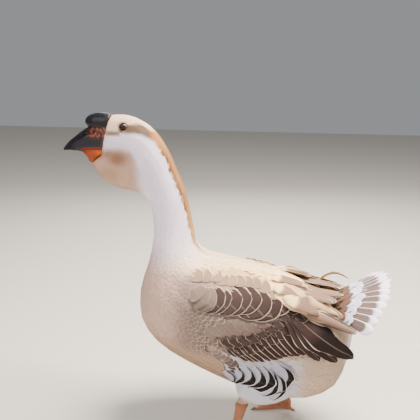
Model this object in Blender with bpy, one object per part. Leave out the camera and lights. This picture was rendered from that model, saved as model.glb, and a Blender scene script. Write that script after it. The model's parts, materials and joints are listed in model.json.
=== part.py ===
"""Domestic goose of the knobbed, dewlapped kind, life size and standing still.

The bird faces -Y, its left side is +X and its soles lie on z = 0.  Trunk, neck and head are one
loft through named body sections, parted by thin cuts.  Wings and tertials are lofts laid on the
flank and back, the tail is a fan of scalloped plates, and each foot is toes, web and claws
joined into one solid.  Pieces that touch keep a small gap.
"""
import math
from collections import namedtuple

import bmesh
import bpy
from mathutils import Matrix, Vector
from mathutils.bvhtree import BVHTree

# Driving dimensions, metres.
GAP = 0.0003            # clearance between pieces that touch
CENTRE_Y = 0.0750       # puts the middle of the bird's length over the origin
RING = 20               # points round a body section
THIN_RING = 12          # points round a wing, bill or leg section
FLAT_ANGLE = 0.003      # faces that meet flatter than this become one, in radians
STEPS = 2               # sections lofted from one named station to the next
MERGE = 0.00002         # points nearer than this are one after a cut or join
SLIVER = 0.00001        # edges shorter than this are closed up

EYE_RADIUS = 0.0080
EYE_PLACE = (0.0212, -0.2944, 0.7012)
KNOB_RADII = (0.0180, 0.0385, 0.0193)
KNOB_PLACE = (0.0, -0.3520, 0.7093)
BILL_BASE_Y = -0.345    # where feathers end and horn begins, at the gape
BILL_LEAN = 0.22        # how far that line leans back, per metre up
GAPE_Z = 0.6510
CHIN_DROP = 0.0135      # depth of the lower bill at the gape
CHIN_SLOPE = 0.70       # fall of the feathered chin under the lower bill, per metre forward
BILL_ROOM = (0.09, 0.80, 0.06)  # reach ahead, top and half width of the bill's room in the head
DEWLAP_PLACE = (0.0, -0.300, 0.592)     # a point of the cut between chin and dewlap
DEWLAP_SLOPE = 0.16     # rise of that cut towards the throat
TAIL_ROOT = (0.0, 0.150, 0.322)
TAIL_LENGTH = 0.149
TAIL_SPREAD = math.radians(53)
TAIL_LIFT = math.radians(24)
TAIL_ROLL = math.radians(10)
TAIL_ARCH = 0.037       # drop of the outermost feathers below the middle pair
TAIL_THICK = 0.004
TAIL_FEATHERS = 14
TAIL_SCALLOP = 0.07     # depth of the notches between feather tips, as a share of the length
TAIL_SHORTER = 0.12     # how much shorter the outermost feathers are, as a share
TAIL_ROOT_HALF = 0.022
TAIL_ROOT_DROP = 0.35   # share of the arch that the fan has at its root
HOCK_Z = 0.0920
ANKLE_Z = 0.0210
TOE_SPREAD = math.radians(27)
MIDDLE_TOE = 0.088
TOE_SHARES = (0.93, 1.0, 0.80)          # outer, middle and inner toe against the middle one
TOE_RADII = (0.0074, 0.0079, 0.0071)
TOE_TAPER = 0.35        # how much a toe thins towards its tip
SOLE_CUT = 0.0012       # how much of each round toe the flat sole takes off
WEB_LEVELS = (0.0010, 0.0034)           # lower and upper face of the web
WEB_REACH = 0.90        # how far along its toes the web's edge meets them
WEB_HOLLOW = 0.10       # how far that edge is drawn in between the toes
CLAW_DROOP = 0.28
HIND_TURN = math.pi + 0.45

# A body section: the point on the back and on the belly as (y, z), half the width,
# and how much wider the section is above its middle than below (egg).
Section = namedtuple("Section", "name back belly half egg")
BODY = (
    Section("tail_base", (0.200, 0.318), (0.214, 0.268), 0.034, 0.0),
    Section("vent", (0.162, 0.336), (0.206, 0.206), 0.068, 0.0),
    Section("paunch_end", (0.120, 0.355), (0.182, 0.140), 0.099, -0.08),
    Section("paunch", (0.075, 0.373), (0.125, 0.106), 0.120, -0.08),
    Section("loin", (0.030, 0.391), (0.055, 0.104), 0.130, -0.04),
    Section("middle", (-0.015, 0.403), (-0.015, 0.116), 0.134, 0.0),
    Section("keel", (-0.060, 0.411), (-0.085, 0.140), 0.131, 0.0),
    Section("shoulder", (-0.098, 0.417), (-0.160, 0.170), 0.123, 0.0),
    Section("breast_low", (-0.123, 0.425), (-0.225, 0.205), 0.109, 0.0),
    Section("breast", (-0.136, 0.437), (-0.265, 0.258), 0.092, 0.0),
    Section("crop", (-0.142, 0.453), (-0.268, 0.330), 0.072, 0.0),
    Section("neck_base", (-0.146, 0.475), (-0.248, 0.395), 0.055, 0.0),
    Section("neck_low", (-0.152, 0.510), (-0.236, 0.455), 0.044, 0.0),
    Section("neck_middle", (-0.163, 0.560), (-0.238, 0.510), 0.039, 0.0),
    Section("neck_high", (-0.180, 0.602), (-0.248, 0.535), 0.037, 0.05),
    Section("throat", (-0.200, 0.648), (-0.262, 0.549), 0.036, 0.15),
    Section("nape", (-0.226, 0.689), (-0.288, 0.557), 0.034, 0.25),
    Section("occiput", (-0.258, 0.7135), (-0.312, 0.560), 0.032, 0.30),
    Section("crown", (-0.292, 0.7250), (-0.338, 0.569), 0.030, 0.30),
    Section("brow", (-0.320, 0.7255), (-0.360, 0.5855), 0.027, 0.22),
    Section("forehead", (-0.345, 0.7215), (-0.375, 0.609), 0.0235, 0.12),
    Section("bill_seat", (-0.352, 0.712), (-0.384, 0.628), 0.0190, 0.05),
)
# Lengths the body is parted into, from one named section to another.
LENGTHS = {
    "trunk": ("tail_base", "neck_base"),
    "neck_lower": ("neck_base", "neck_middle"),
    "neck_upper": ("neck_middle", "throat"),
    "head": ("throat", "bill_seat"),
}
TRUNK_FRONT = BODY[4:12]
# The hull that the folded wings lie on: the trunk's front, kept full back to the wing tips.
WING_HULL_END = (
    Section("hull_end", (0.228, 0.345), (0.232, 0.190), 0.060, 0.0),
    Section("hull_vent", (0.185, 0.362), (0.205, 0.150), 0.092, 0.0),
    Section("hull_paunch", (0.120, 0.375), (0.150, 0.120), 0.116, 0.0),
)

# A wing section: upper and lower edge as (y, z) seen from the side, and thickness outward.
WingSection = namedtuple("WingSection", "name upper lower thick")
WING = (
    WingSection("wrist_edge", (-0.122, 0.326), (-0.120, 0.300), 0.003),
    WingSection("wrist", (-0.110, 0.358), (-0.102, 0.268), 0.010),
    WingSection("shoulder", (-0.076, 0.384), (-0.064, 0.247), 0.015),
    WingSection("upper_arm", (-0.022, 0.394), (-0.018, 0.230), 0.016),
    WingSection("elbow", (0.038, 0.387), (0.036, 0.229), 0.015),
    WingSection("secondaries", (0.098, 0.366), (0.092, 0.243), 0.012),
    WingSection("primaries", (0.150, 0.341), (0.148, 0.250), 0.009),
    WingSection("tips", (0.190, 0.316), (0.192, 0.250), 0.006),
    WingSection("tip_end", (0.213, 0.276), (0.213, 0.256), 0.002),
)
WING_INSET = 0.35       # share of a wing's thickness that lies sunk in the flank
TERTIAL_INSET = 0.50    # the same for the tertials on the rump
# The line between the coverts and the flight feathers, as (y, z) points.
COVERT_LINE = ((-0.010, 0.225), (0.125, 0.360))

# A tertial section: inner and outer edge as (x, y) seen from above, and thickness.
TertialSection = namedtuple("TertialSection", "name inner outer thick")
TERTIALS = (
    TertialSection("root_edge", (0.050, 0.036), (0.072, 0.036), 0.002),
    TertialSection("root", (0.036, 0.060), (0.086, 0.058), 0.007),
    TertialSection("middle", (0.022, 0.100), (0.084, 0.100), 0.009),
    TertialSection("rear", (0.018, 0.145), (0.076, 0.147), 0.008),
    TertialSection("tips", (0.024, 0.176), (0.064, 0.178), 0.005),
    TertialSection("tip_end", (0.036, 0.195), (0.050, 0.195), 0.002),
)
TERTIAL_RISE = 0.020    # lift of the tertials' tips off the rump

# A bill section: y, height of the ridge, height of the mouth line and half the width.
BILL_UPPER = (
    (-0.3260, 0.7200, 0.6512, 0.0216),
    (BILL_BASE_Y, 0.7150, GAPE_Z, 0.0213),
    (-0.3620, 0.7085, 0.6500, 0.0202),
    (-0.3800, 0.6985, 0.6490, 0.0184),
    (-0.4020, 0.6848, 0.6476, 0.0160),
    (-0.4200, 0.6720, 0.6463, 0.0138),
    (-0.4330, 0.6600, 0.6452, 0.0106),
    (-0.4415, 0.6510, 0.6432, 0.0064),
    (-0.4440, 0.6478, 0.6428, 0.0030),
)
# The lower bill: y, height of the mouth line, height of the lower edge and half the width.
BILL_LOWER = (
    (BILL_BASE_Y, 0.6505, 0.6330, 0.0180),
    (-0.3620, 0.6495, 0.6225, 0.0178),
    (-0.3790, 0.6485, 0.6155, 0.0164),
    (-0.3845, 0.6482, 0.6240, 0.0158),
    (-0.3925, 0.6477, 0.6355, 0.0146),
    (-0.4010, 0.6471, 0.6420, 0.0132),
    (-0.4180, 0.6459, 0.6438, 0.0108),
    (-0.4270, 0.6450, 0.6436, 0.0070),
)

# A feathered thigh section: height, centre (x, y) and half sizes across and along.
THIGH = (
    (0.232, (0.084, 0.028), (0.030, 0.052)),
    (0.205, (0.090, 0.032), (0.040, 0.064)),
    (0.172, (0.093, 0.034), (0.044, 0.067)),
    (0.145, (0.091, 0.030), (0.041, 0.060)),
    (0.127, (0.085, 0.020), (0.032, 0.044)),
)
# The leg below it, measured from the hock: rise, drift towards the knee (0 to 1), half sizes.
TIBIA = (
    (0.024, 0.45, (0.0180, 0.0220)),
    (0.014, 0.15, (0.0135, 0.0165)),
    (0.006, 0.00, (0.0115, 0.0140)),
)
# A bare shank section: share of the way from hock to ankle and half sizes.
SHANK = (
    (0.00, (0.0100, 0.0125)),
    (0.08, (0.0118, 0.0150)),
    (0.24, (0.0095, 0.0122)),
    (0.55, (0.0080, 0.0104)),
    (0.85, (0.0092, 0.0116)),
    (1.00, (0.0106, 0.0128)),
)
# A toe's outline: share of its length from the ankle and of its radius there.
TOE = ((-0.08, 0.75), (0.3, 0.92), (0.42, 1.02), (0.6, 0.85), (0.72, 0.92), (1.0, 0.45))
# A claw: length, how far back from the toe's end it starts, radius and height.
Claw = namedtuple("Claw", "length sunk radius height")
FRONT_CLAW = Claw(0.0115, 0.0045, 0.0034, 0.0036)
HIND_CLAW = Claw(0.0080, 0.0025, 0.0022, 0.0026)
# The hind toe: length, radius and how high it sets off from the ankle.
HIND_TOE = (0.024, 0.0052, 0.0040)
# The heel of the foot, under the shank: height and half sizes.
HEEL = (
    (-0.0010, (0.0095, 0.0118)),
    (0.0080, (0.0118, 0.0140)),
    (0.0150, (0.0116, 0.0138)),
    (ANKLE_Z - GAP, (0.0106, 0.0128)),
)
Leg = namedtuple("Leg", "side hock ankle turn")
LEGS = {
    "left": Leg(1, (0.066, -0.019), (0.069, -0.036), math.radians(4)),
    "right": Leg(-1, (0.078, 0.046), (0.092, 0.066), math.radians(6)),
}

# Finishes: base colour, roughness, metallic.
FINISHES = {
    "cream_plumage": ((0.62, 0.52, 0.40), 0.85, 0.0),
    "white_plumage": ((0.72, 0.68, 0.62), 0.85, 0.0),
    "brown_plumage": ((0.17, 0.12, 0.09), 0.80, 0.0),
    "black_horn": ((0.020, 0.020, 0.024), 0.35, 0.0),
    "orange_horn": ((0.55, 0.19, 0.05), 0.45, 0.0),
    "orange_skin": ((0.60, 0.26, 0.12), 0.55, 0.0),
    "brown_eye": ((0.035, 0.018, 0.010), 0.08, 0.0),
}


def collection(name):
    """A new collection in the scene."""
    made = bpy.data.collections.new(name)
    bpy.context.scene.collection.children.link(made)
    return made


def finish(name):
    """The Principled material of one finish, made once."""
    made = bpy.data.materials.get(name)
    if made is None:
        colour, roughness, metallic = FINISHES[name]
        made = bpy.data.materials.new(name)
        made.use_nodes = True
        shader = made.node_tree.nodes["Principled BSDF"]
        shader.inputs["Base Color"].default_value = (*colour, 1.0)
        shader.inputs["Roughness"].default_value = roughness
        shader.inputs["Metallic"].default_value = metallic
        made.diffuse_color = (*colour, 1.0)
    return made


def lofted(rings):
    """A closed solid through rings of equally many points."""
    bm = bmesh.new()
    loops = [[bm.verts.new(point) for point in ring] for ring in rings]
    for near, far in zip(loops, loops[1:]):
        for i in range(len(near)):
            bm.faces.new((near[i - 1], near[i], far[i], far[i - 1]))
    bm.faces.new(loops[0])
    bm.faces.new(loops[-1])
    bmesh.ops.recalc_face_normals(bm, faces=bm.faces)
    return bm


def piece(name, bm, finish_name, where):
    """An object named for its part, from a bmesh that is freed."""
    mesh = bpy.data.meshes.new(name)
    bmesh.ops.triangulate(bm, faces=bm.faces)
    bmesh.ops.recalc_face_normals(bm, faces=bm.faces)
    bm.to_mesh(mesh)
    bm.free()
    mesh.materials.append(finish(finish_name))
    mesh.shade_smooth()
    mesh.set_sharp_from_angle(angle=math.radians(50))
    made = bpy.data.objects.new(name, mesh)
    where.objects.link(made)
    return made


def cutter(name, bm, grow=0.0):
    """A hidden tool that stands out by grow beyond the shape it is made from."""
    bmesh.ops.triangulate(bm, faces=bm.faces)
    if grow:
        bmesh.ops.recalc_face_normals(bm, faces=bm.faces)
        bm.normal_update()
        moved = [(v, v.co + v.normal * grow * min(v.calc_shell_factor(), 2)) for v in bm.verts]
        for vert, place in moved:
            vert.co = place
    made = piece(name, bm, "black_horn", CUTTERS)
    made.hide_render = True
    made.display_type = "WIRE"
    return made


def copy_of(made):
    """A bmesh of an object's own mesh."""
    bm = bmesh.new()
    bm.from_mesh(made.data)
    return bm


def largest(bm):
    """Deletes every loose island but the one with the most faces."""
    left = set(bm.faces)
    islands = []
    while left:
        island, rim = set(), [left.pop()]
        while rim:
            face = rim.pop()
            island.add(face)
            near = {other for edge in face.edges for other in edge.link_faces if other in left}
            left -= near
            rim.extend(near)
        islands.append(island)
    islands.sort(key=len)
    spare = [face for island in islands[:-1] for face in island]
    bmesh.ops.delete(bm, geom=spare, context="FACES")


def combine(made, operation, *tools):
    """Applies exact Booleans of tools to an object and keeps its main body."""
    for tool in tools:
        step = made.modifiers.new(tool.name, "BOOLEAN")
        step.operation = operation
        step.solver = "EXACT"
        step.object = tool
    seen = made.evaluated_get(bpy.context.evaluated_depsgraph_get())
    result = bpy.data.meshes.new_from_object(seen)
    made.modifiers.clear()
    bm = bmesh.new()
    bm.from_mesh(result)
    bmesh.ops.remove_doubles(bm, verts=bm.verts, dist=MERGE)
    bmesh.ops.dissolve_degenerate(bm, edges=bm.edges, dist=SLIVER)
    bmesh.ops.dissolve_limit(bm, angle_limit=FLAT_ANGLE, verts=bm.verts, edges=bm.edges)
    bmesh.ops.triangulate(bm, faces=bm.faces)
    largest(bm)
    bm.to_mesh(made.data)
    bm.free()
    bpy.data.meshes.remove(result)


def carve(made, *others):
    """Cuts room for other pieces, with the gap, out of a piece."""
    tools = [
        cutter(f"{made.name}_room_for_{other.name}", copy_of(other), GAP) for other in others
    ]
    combine(made, "DIFFERENCE", *tools)


def blended(rows, steps):
    """Rows of numbers with smooth in-between rows, through every given row."""
    out = []
    for i in range(len(rows) - 1):
        before, start = rows[max(i - 1, 0)], rows[i]
        end, after = rows[i + 1], rows[min(i + 2, len(rows) - 1)]
        for step in range(steps):
            t = step / steps
            out.append([
                0.5 * (2 * b + (c - a) * t + (2 * a - 5 * b + 4 * c - d) * t * t
                       + (3 * b - a - 3 * c + d) * t ** 3)
                for a, b, c, d in zip(before, start, end, after)
            ])
    out.append(list(rows[-1]))
    return out


def body_ring(row):
    """Points round one body section: back, left side, belly, right side."""
    back_y, back_z, belly_y, belly_z, half, egg = row
    back, belly = Vector((0, back_y, back_z)), Vector((0, belly_y, belly_z))
    middle, reach = (back + belly) / 2, (back - belly) / 2
    ring = []
    for i in range(RING):
        turn = math.tau * i / RING
        rise = math.cos(turn)
        side = half * math.sin(turn) * (1 + egg * rise)
        ring.append(middle + reach * rise + Vector((side, 0, 0)))
    return ring


def body_rings(sections):
    """Rings through body sections, each nose-end ring last."""
    rows = [(*s.back, *s.belly, s.half, s.egg) for s in sections]
    return [body_ring(row) for row in blended(rows, STEPS)]


def body_length(name, rings):
    """One length of the body, its forward end drawn back by the gap."""
    names = [section.name for section in BODY]
    first, last = (names.index(end) * STEPS for end in LENGTHS[name])
    part = [list(ring) for ring in rings[first:last + 1]]
    if last < len(rings) - 1:
        quarter = RING // 4
        across = part[-1][quarter] - part[-1][-quarter]
        up = part[-1][0] - part[-1][2 * quarter]
        back = across.cross(up).normalized() * GAP
        if back.dot(part[-2][0] - part[-1][0]) < 0:
            back.negate()
        part[-1] = [point + back for point in part[-1]]
    return lofted(part)


def laid_ring(hull, upper, lower, thick, ray, inset):
    """A flat lens section laid on a hull, between two edges, seen along a ray."""
    points = []
    for i in range(THIN_RING):
        turn = math.tau * i / THIN_RING
        aim = lower.lerp(upper, 0.5 + 0.5 * math.cos(turn))
        place, normal, _, _ = hull.ray_cast(aim - ray, ray)
        out = math.sin(turn)
        points.append(place + normal * thick * (out if out > 0 else out * inset))
    return points


def wing(hull):
    """The whole folded left wing, from its wrist to the tips of the primaries."""
    rows = [(*s.upper, *s.lower, s.thick) for s in WING]
    ray = Vector((-1, 0, 0))
    rings = [
        laid_ring(hull, Vector((0, y1, z1)), Vector((0, y2, z2)), thick, ray, WING_INSET)
        for y1, z1, y2, z2, thick in blended(rows, STEPS)
    ]
    return lofted(rings)


def tertials(hull):
    """The left wing's inner feathers, which lie over the rump with their tips lifted."""
    rows = [(*s.inner, *s.outer, s.thick) for s in TERTIALS]
    ray = Vector((0, 0, -1))
    rings = []
    for i, (x1, y1, x2, y2, thick) in enumerate(blended(rows, STEPS)):
        inner, outer = Vector((x1, y1, 0)), Vector((x2, y2, 0))
        ring = laid_ring(hull, inner, outer, thick, ray, TERTIAL_INSET)
        lift = TERTIAL_RISE * (i / (len(TERTIALS) * STEPS)) ** 2
        rings.append([point + Vector((0, 0, lift)) for point in ring])
    return lofted(rings)


def kept_side(bm, point, normal):
    """Cuts a solid with a plane, keeps what lies against the normal and closes it."""
    bmesh.ops.triangulate(bm, faces=bm.faces)
    geometry = bm.verts[:] + bm.edges[:] + bm.faces[:]
    bmesh.ops.bisect_plane(bm, geom=geometry, plane_co=point, plane_no=normal,
                           clear_outer=True, dist=SLIVER / 10)
    rims = [edge for edge in bm.edges if edge.is_boundary]
    bmesh.ops.holes_fill(bm, edges=rims, sides=0)
    bmesh.ops.recalc_face_normals(bm, faces=bm.faces)
    return bm


def mirrored(bm):
    """The same solid for the other side of the bird."""
    bmesh.ops.scale(bm, verts=bm.verts, vec=(-1, 1, 1))
    bmesh.ops.recalc_face_normals(bm, faces=bm.faces)
    return bm


def make_wings(hull):
    """Coverts and flight feathers of both wings, parted by one thin cut, and the tertials."""
    (y1, z1), (y2, z2) = COVERT_LINE
    point = Vector((0, y1, z1))
    normal = Vector((0, z2 - z1, y1 - y2)).normalized()
    rooms = []
    for side, turned in (("left", lambda bm: bm), ("right", mirrored)):
        rooms.append(cutter(f"wing_room_{side}", turned(wing(hull)), GAP))
        coverts = kept_side(wing(hull), point, normal)
        flights = kept_side(wing(hull), point + normal * GAP, -normal)
        piece(f"wing_{side}", turned(coverts), "brown_plumage", PARTS)
        piece(f"flight_{side}", turned(flights), "brown_plumage", PARTS)
        inner = piece(f"tertials_{side}", turned(tertials(hull)), "brown_plumage", PARTS)
        combine(inner, "DIFFERENCE", rooms[-1])
        rooms.append(cutter(f"tertials_room_{side}", turned(tertials(hull)), GAP))
    return rooms


def tail_point(along, across):
    """A point of the tail fan: along from root to tip, across from -1 to 1."""
    feather = abs(math.cos(math.pi * TAIL_FEATHERS / 2 * across))
    tip = 1 - TAIL_SCALLOP + TAIL_SCALLOP * feather ** 0.5 - TAIL_SHORTER * across ** 2
    angle = across * TAIL_SPREAD
    out = TAIL_LENGTH * along * tip
    x = TAIL_ROOT_HALF * across + out * math.sin(angle)
    y = out * math.cos(angle)
    drop = TAIL_ARCH * across ** 2 * (TAIL_ROOT_DROP + (1 - TAIL_ROOT_DROP) * along)
    return Vector((x, y, -drop))


def tail():
    """The tail fan: a sheet over its feathers, thickened, lifted and rolled."""
    columns, rows = TAIL_FEATHERS * 2, 4
    bm = bmesh.new()
    bmesh.ops.create_grid(bm, x_segments=columns, y_segments=rows, size=1)
    for vert in bm.verts:
        vert.co = tail_point((vert.co.y + 1) / 2, vert.co.x)
    turn = Matrix.Rotation(TAIL_ROLL, 4, "Y") @ Matrix.Rotation(TAIL_LIFT, 4, "X")
    bmesh.ops.transform(bm, verts=bm.verts, matrix=Matrix.Translation(TAIL_ROOT) @ turn)
    bmesh.ops.recalc_face_normals(bm, faces=bm.faces)
    bmesh.ops.solidify(bm, geom=bm.faces[:], thickness=TAIL_THICK)
    return bm


def bill_half(sections, ridge_up):
    """One half of the bill: rounded away from the mouth line and flat along it."""
    rings = []
    for y, first, second, half in blended(sections, STEPS):
        top, bottom = (first, second) if ridge_up else (second, first)
        ring = []
        for i in range(THIN_RING):
            turn = math.tau * i / THIN_RING
            rise = max(math.cos(turn), 0) ** 0.85
            ring.append(Vector((half * math.sin(turn), y, bottom + (top - bottom) * rise)))
        rings.append(ring)
    return lofted(rings)


def ball(radii, place, across=16, along=9):
    """An ellipsoid."""
    bm = bmesh.new()
    shape = Matrix.Translation(place) @ Matrix.Diagonal((*radii, 1))
    bmesh.ops.create_uvsphere(bm, u_segments=across, v_segments=along, radius=1, matrix=shape)
    return bm


def seat_line(z, back=0.0):
    """The (y, z) point at a height on the line where horn meets feathers."""
    return BILL_BASE_Y + BILL_LEAN * (z - GAPE_Z) + back, z


def make_bill():
    """Both halves of the bill and the knob, set against the forehead and chin."""
    seat = Vector((0, *seat_line(GAPE_Z)))
    backward = Vector((0, 1, -BILL_LEAN)).normalized()
    upper = piece("bill_upper", kept_side(bill_half(BILL_UPPER, True), seat, backward),
                  "black_horn", PARTS)
    chin = Vector((0, *seat_line(GAPE_Z - CHIN_DROP)))
    chin.z += GAP
    lower = kept_side(bill_half(BILL_LOWER, False), seat, backward)
    lower = kept_side(lower, chin, Vector((0, CHIN_SLOPE, -1)).normalized())
    piece("bill_lower", lower, "orange_horn", PARTS)
    knob = piece("knob", kept_side(ball(KNOB_RADII, KNOB_PLACE), seat, backward),
                 "black_horn", PARTS)
    carve(knob, upper)


def bill_seat():
    """The room for the bill: behind it a face across the head, below it the chin's slope."""
    far, top, half = BILL_ROOM
    low, high = seat_line(GAPE_Z - CHIN_DROP, GAP), seat_line(top, GAP)
    ahead = low[0] - far
    outline = (low, high, (ahead, top), (ahead, low[1] - far * CHIN_SLOPE))
    rings = [[Vector((x, y, z)) for y, z in outline] for x in (-half, half)]
    return lofted(rings)


def make_body(rooms):
    """Trunk, neck and head, with room in the trunk for what lies on it, and the tail."""
    rings = body_rings(BODY)
    made = {
        name: piece(name, body_length(name, rings), "cream_plumage", PARTS)
        for name in LENGTHS
    }
    fan = piece("tail", tail(), "brown_plumage", PARTS)
    combine(fan, "DIFFERENCE", *rooms)
    combine(made["trunk"], "DIFFERENCE", *rooms, cutter("tail_room", tail(), GAP))
    return made


def make_head(head):
    """Seats the bill and the eyes in the head and parts off the dewlap."""
    combine(head, "DIFFERENCE", cutter("bill_room", bill_seat()))
    x, y, z = EYE_PLACE
    for side, sign in (("left", 1), ("right", -1)):
        place = (sign * x, y, z)
        turn = Matrix.Translation(place) @ Matrix.Rotation(math.pi / 2, 4, "Y")
        bm = ball((EYE_RADIUS,) * 3, (0, 0, 0), 14, 8)
        bmesh.ops.transform(bm, verts=bm.verts, matrix=turn)
        carve(head, piece(f"eye_{side}", bm, "brown_eye", PARTS))
    cut, up = Vector(DEWLAP_PLACE), Vector((0, DEWLAP_SLOPE, 1)).normalized()
    dewlap = kept_side(copy_of(head), cut, up)
    piece("dewlap", dewlap, "cream_plumage", PARTS)
    kept_side_of(head, cut + up * GAP, -up)


def kept_side_of(made, point, normal):
    """Cuts an object's mesh with a plane and keeps one side."""
    bm = kept_side(copy_of(made), point, normal)
    bm.to_mesh(made.data)
    bm.free()


def level_rings(stations, points=THIN_RING):
    """Flat rings round the centre points of a limb, from (centre, half sizes) pairs."""
    rings = []
    for centre, (half_x, half_y) in stations:
        rings.append([
            Vector(centre) + Vector((half_x * math.cos(turn), half_y * math.sin(turn), 0))
            for turn in (math.tau * i / points for i in range(points))
        ])
    return rings


def thigh(leg):
    """The feathered leg, from inside the flank down to the hock."""
    hock = Vector((leg.side * leg.hock[0], leg.hock[1], HOCK_Z))
    stations = [(Vector((leg.side * x, y, z)), size) for z, (x, y), size in THIGH]
    knee = stations[-1][0]
    for rise, drift, size in TIBIA:
        place = hock.lerp(knee, drift)
        place.z = HOCK_Z + rise
        stations.append((place, size))
    return lofted(level_rings(stations, 16))


def shank(leg):
    """The bare leg, from the hock into the ankle."""
    hock = Vector((leg.side * leg.hock[0], leg.hock[1], HOCK_Z + TIBIA[-1][0] - GAP))
    ankle = Vector((leg.side * leg.ankle[0], leg.ankle[1], ANKLE_Z))
    return lofted(level_rings([(hock.lerp(ankle, share), size) for share, size in SHANK]))


def heading(angle):
    """The level direction of a toe, from straight ahead."""
    return Vector((math.sin(angle), -math.cos(angle), 0))


def toe(length, angle, thick, lift=0.0):
    """A toe pointing forward from the ankle, with a joint's swelling part-way."""
    ahead = heading(angle)
    across = Vector((0, 0, 1)).cross(ahead)
    rings = []
    for share, size in TOE:
        radius = thick * size * (1 - TOE_TAPER * max(share, 0))
        middle = ahead * length * share + Vector((0, 0, radius - SOLE_CUT + lift * (1 - share)))
        rings.append([
            middle + (across * math.cos(turn) + Vector((0, 0, 1)) * math.sin(turn)) * radius
            for turn in (math.tau * i / 8 for i in range(8))
        ])
    return lofted(rings)


def claw(kind, angle, toe_length):
    """A blunt claw at a toe's tip, bent down to the floor."""
    ahead = (heading(angle) - Vector((0, 0, CLAW_DROOP))).normalized()
    base = heading(angle) * (toe_length - kind.sunk) + Vector((0, 0, kind.height))
    bm = bmesh.new()
    turn = ahead.to_track_quat("Z", "Y").to_matrix().to_4x4()
    place = Matrix.Translation(base + ahead * kind.length / 2) @ turn
    bmesh.ops.create_cone(bm, cap_ends=True, segments=8, radius1=kind.radius,
                          radius2=kind.radius / 4, depth=kind.length, matrix=place)
    return bm


def web(lengths, angles):
    """The skin between the three front toes, its free edges drawn in."""
    outline = [Vector((0, 0, 0))]
    for i in range(2):
        for share in (0.0, 0.25, 0.5, 0.75):
            angle = angles[i] + (angles[i + 1] - angles[i]) * share
            reach = lengths[i] + (lengths[i + 1] - lengths[i]) * share
            reach *= WEB_REACH - WEB_HOLLOW * math.sin(math.pi * share)
            outline.append(heading(angle) * reach)
    outline.append(heading(angles[-1]) * lengths[-1] * WEB_REACH)
    return lofted([[point + Vector((0, 0, level)) for point in outline] for level in WEB_LEVELS])


def foot(name, leg):
    """One webbed foot with its claws: joined pieces on flat soles."""
    angles = (-TOE_SPREAD, 0.0, TOE_SPREAD)
    lengths = [MIDDLE_TOE * share for share in TOE_SHARES]
    hub = [(Vector((0, 0, z)), size) for z, size in HEEL]
    made = piece(name, lofted(level_rings(hub)), "orange_skin", PARTS)
    joined = [("web", web(lengths, angles))]
    for i, (length, angle, radius) in enumerate(zip(lengths, angles, TOE_RADII)):
        joined.append((f"toe_{i}", toe(length, angle, radius)))
        joined.append((f"claw_{i}", claw(FRONT_CLAW, angle, length)))
    length, radius, lift = HIND_TOE
    joined.append(("hind_toe", toe(length, HIND_TURN, radius, lift)))
    joined.append(("hind_claw", claw(HIND_CLAW, HIND_TURN, length)))
    combine(made, "UNION", *(cutter(f"{name}_{label}", bm) for label, bm in joined))
    bm = kept_side(copy_of(made), Vector((0, 0, 0)), Vector((0, 0, -1)))
    if leg.side < 0:
        mirrored(bm)
    turn = Matrix.Rotation(leg.side * leg.turn, 4, "Z")
    place = Matrix.Translation((leg.side * leg.ankle[0], leg.ankle[1], 0)) @ turn
    bmesh.ops.transform(bm, verts=bm.verts, matrix=place)
    bm.to_mesh(made.data)
    bm.free()


def make_legs(trunk):
    """Thighs, shanks and feet, and the trunk's room for the thighs."""
    for side, leg in LEGS.items():
        upper = piece(f"thigh_{side}", thigh(leg), "white_plumage", PARTS)
        carve(trunk, upper)
        piece(f"shank_{side}", shank(leg), "orange_skin", PARTS)
        foot(f"foot_{side}", leg)


def goose():
    """Builds every piece and hangs them all on one empty."""
    hull = BVHTree.FromBMesh(lofted(body_rings(WING_HULL_END + TRUNK_FRONT)))
    body = make_body(make_wings(hull))
    make_legs(body["trunk"])
    make_bill()
    make_head(body["head"])
    stand = bpy.data.objects.new("goose", None)
    stand.location = (0, CENTRE_Y, 0)
    PARTS.objects.link(stand)
    for made in PARTS.objects:
        if made.type == "MESH":
            made.parent = stand


for old in list(bpy.data.objects):
    bpy.data.objects.remove(old)
PARTS = collection("domestic_goose")
CUTTERS = collection("cutters")
goose()
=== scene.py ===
"""Dressed museum model of a knobbed, dewlapped domestic goose that stands still.

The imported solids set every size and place.  The bird faces -Y, its left side is +X and its soles
lie on z = 0.  One skin replaces the solids of flesh and lies inside them.  Small body feathers
cover the skin, and rows of larger vanes make the wings, tertials, flanks and tail.  Bill, knob,
eyes, lids, legs and claws are pieces of their own.
"""
from __future__ import annotations

import json
import logging
import math
from dataclasses import dataclass, field, replace
from enum import Enum

import bmesh
import bpy
import numpy as np
from bpy.types import Material, Mesh, Node, NodeSocket, NodeTree, Object
from mathutils import Matrix, Vector
from mathutils.bvhtree import BVHTree
from mathutils.kdtree import KDTree

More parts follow.
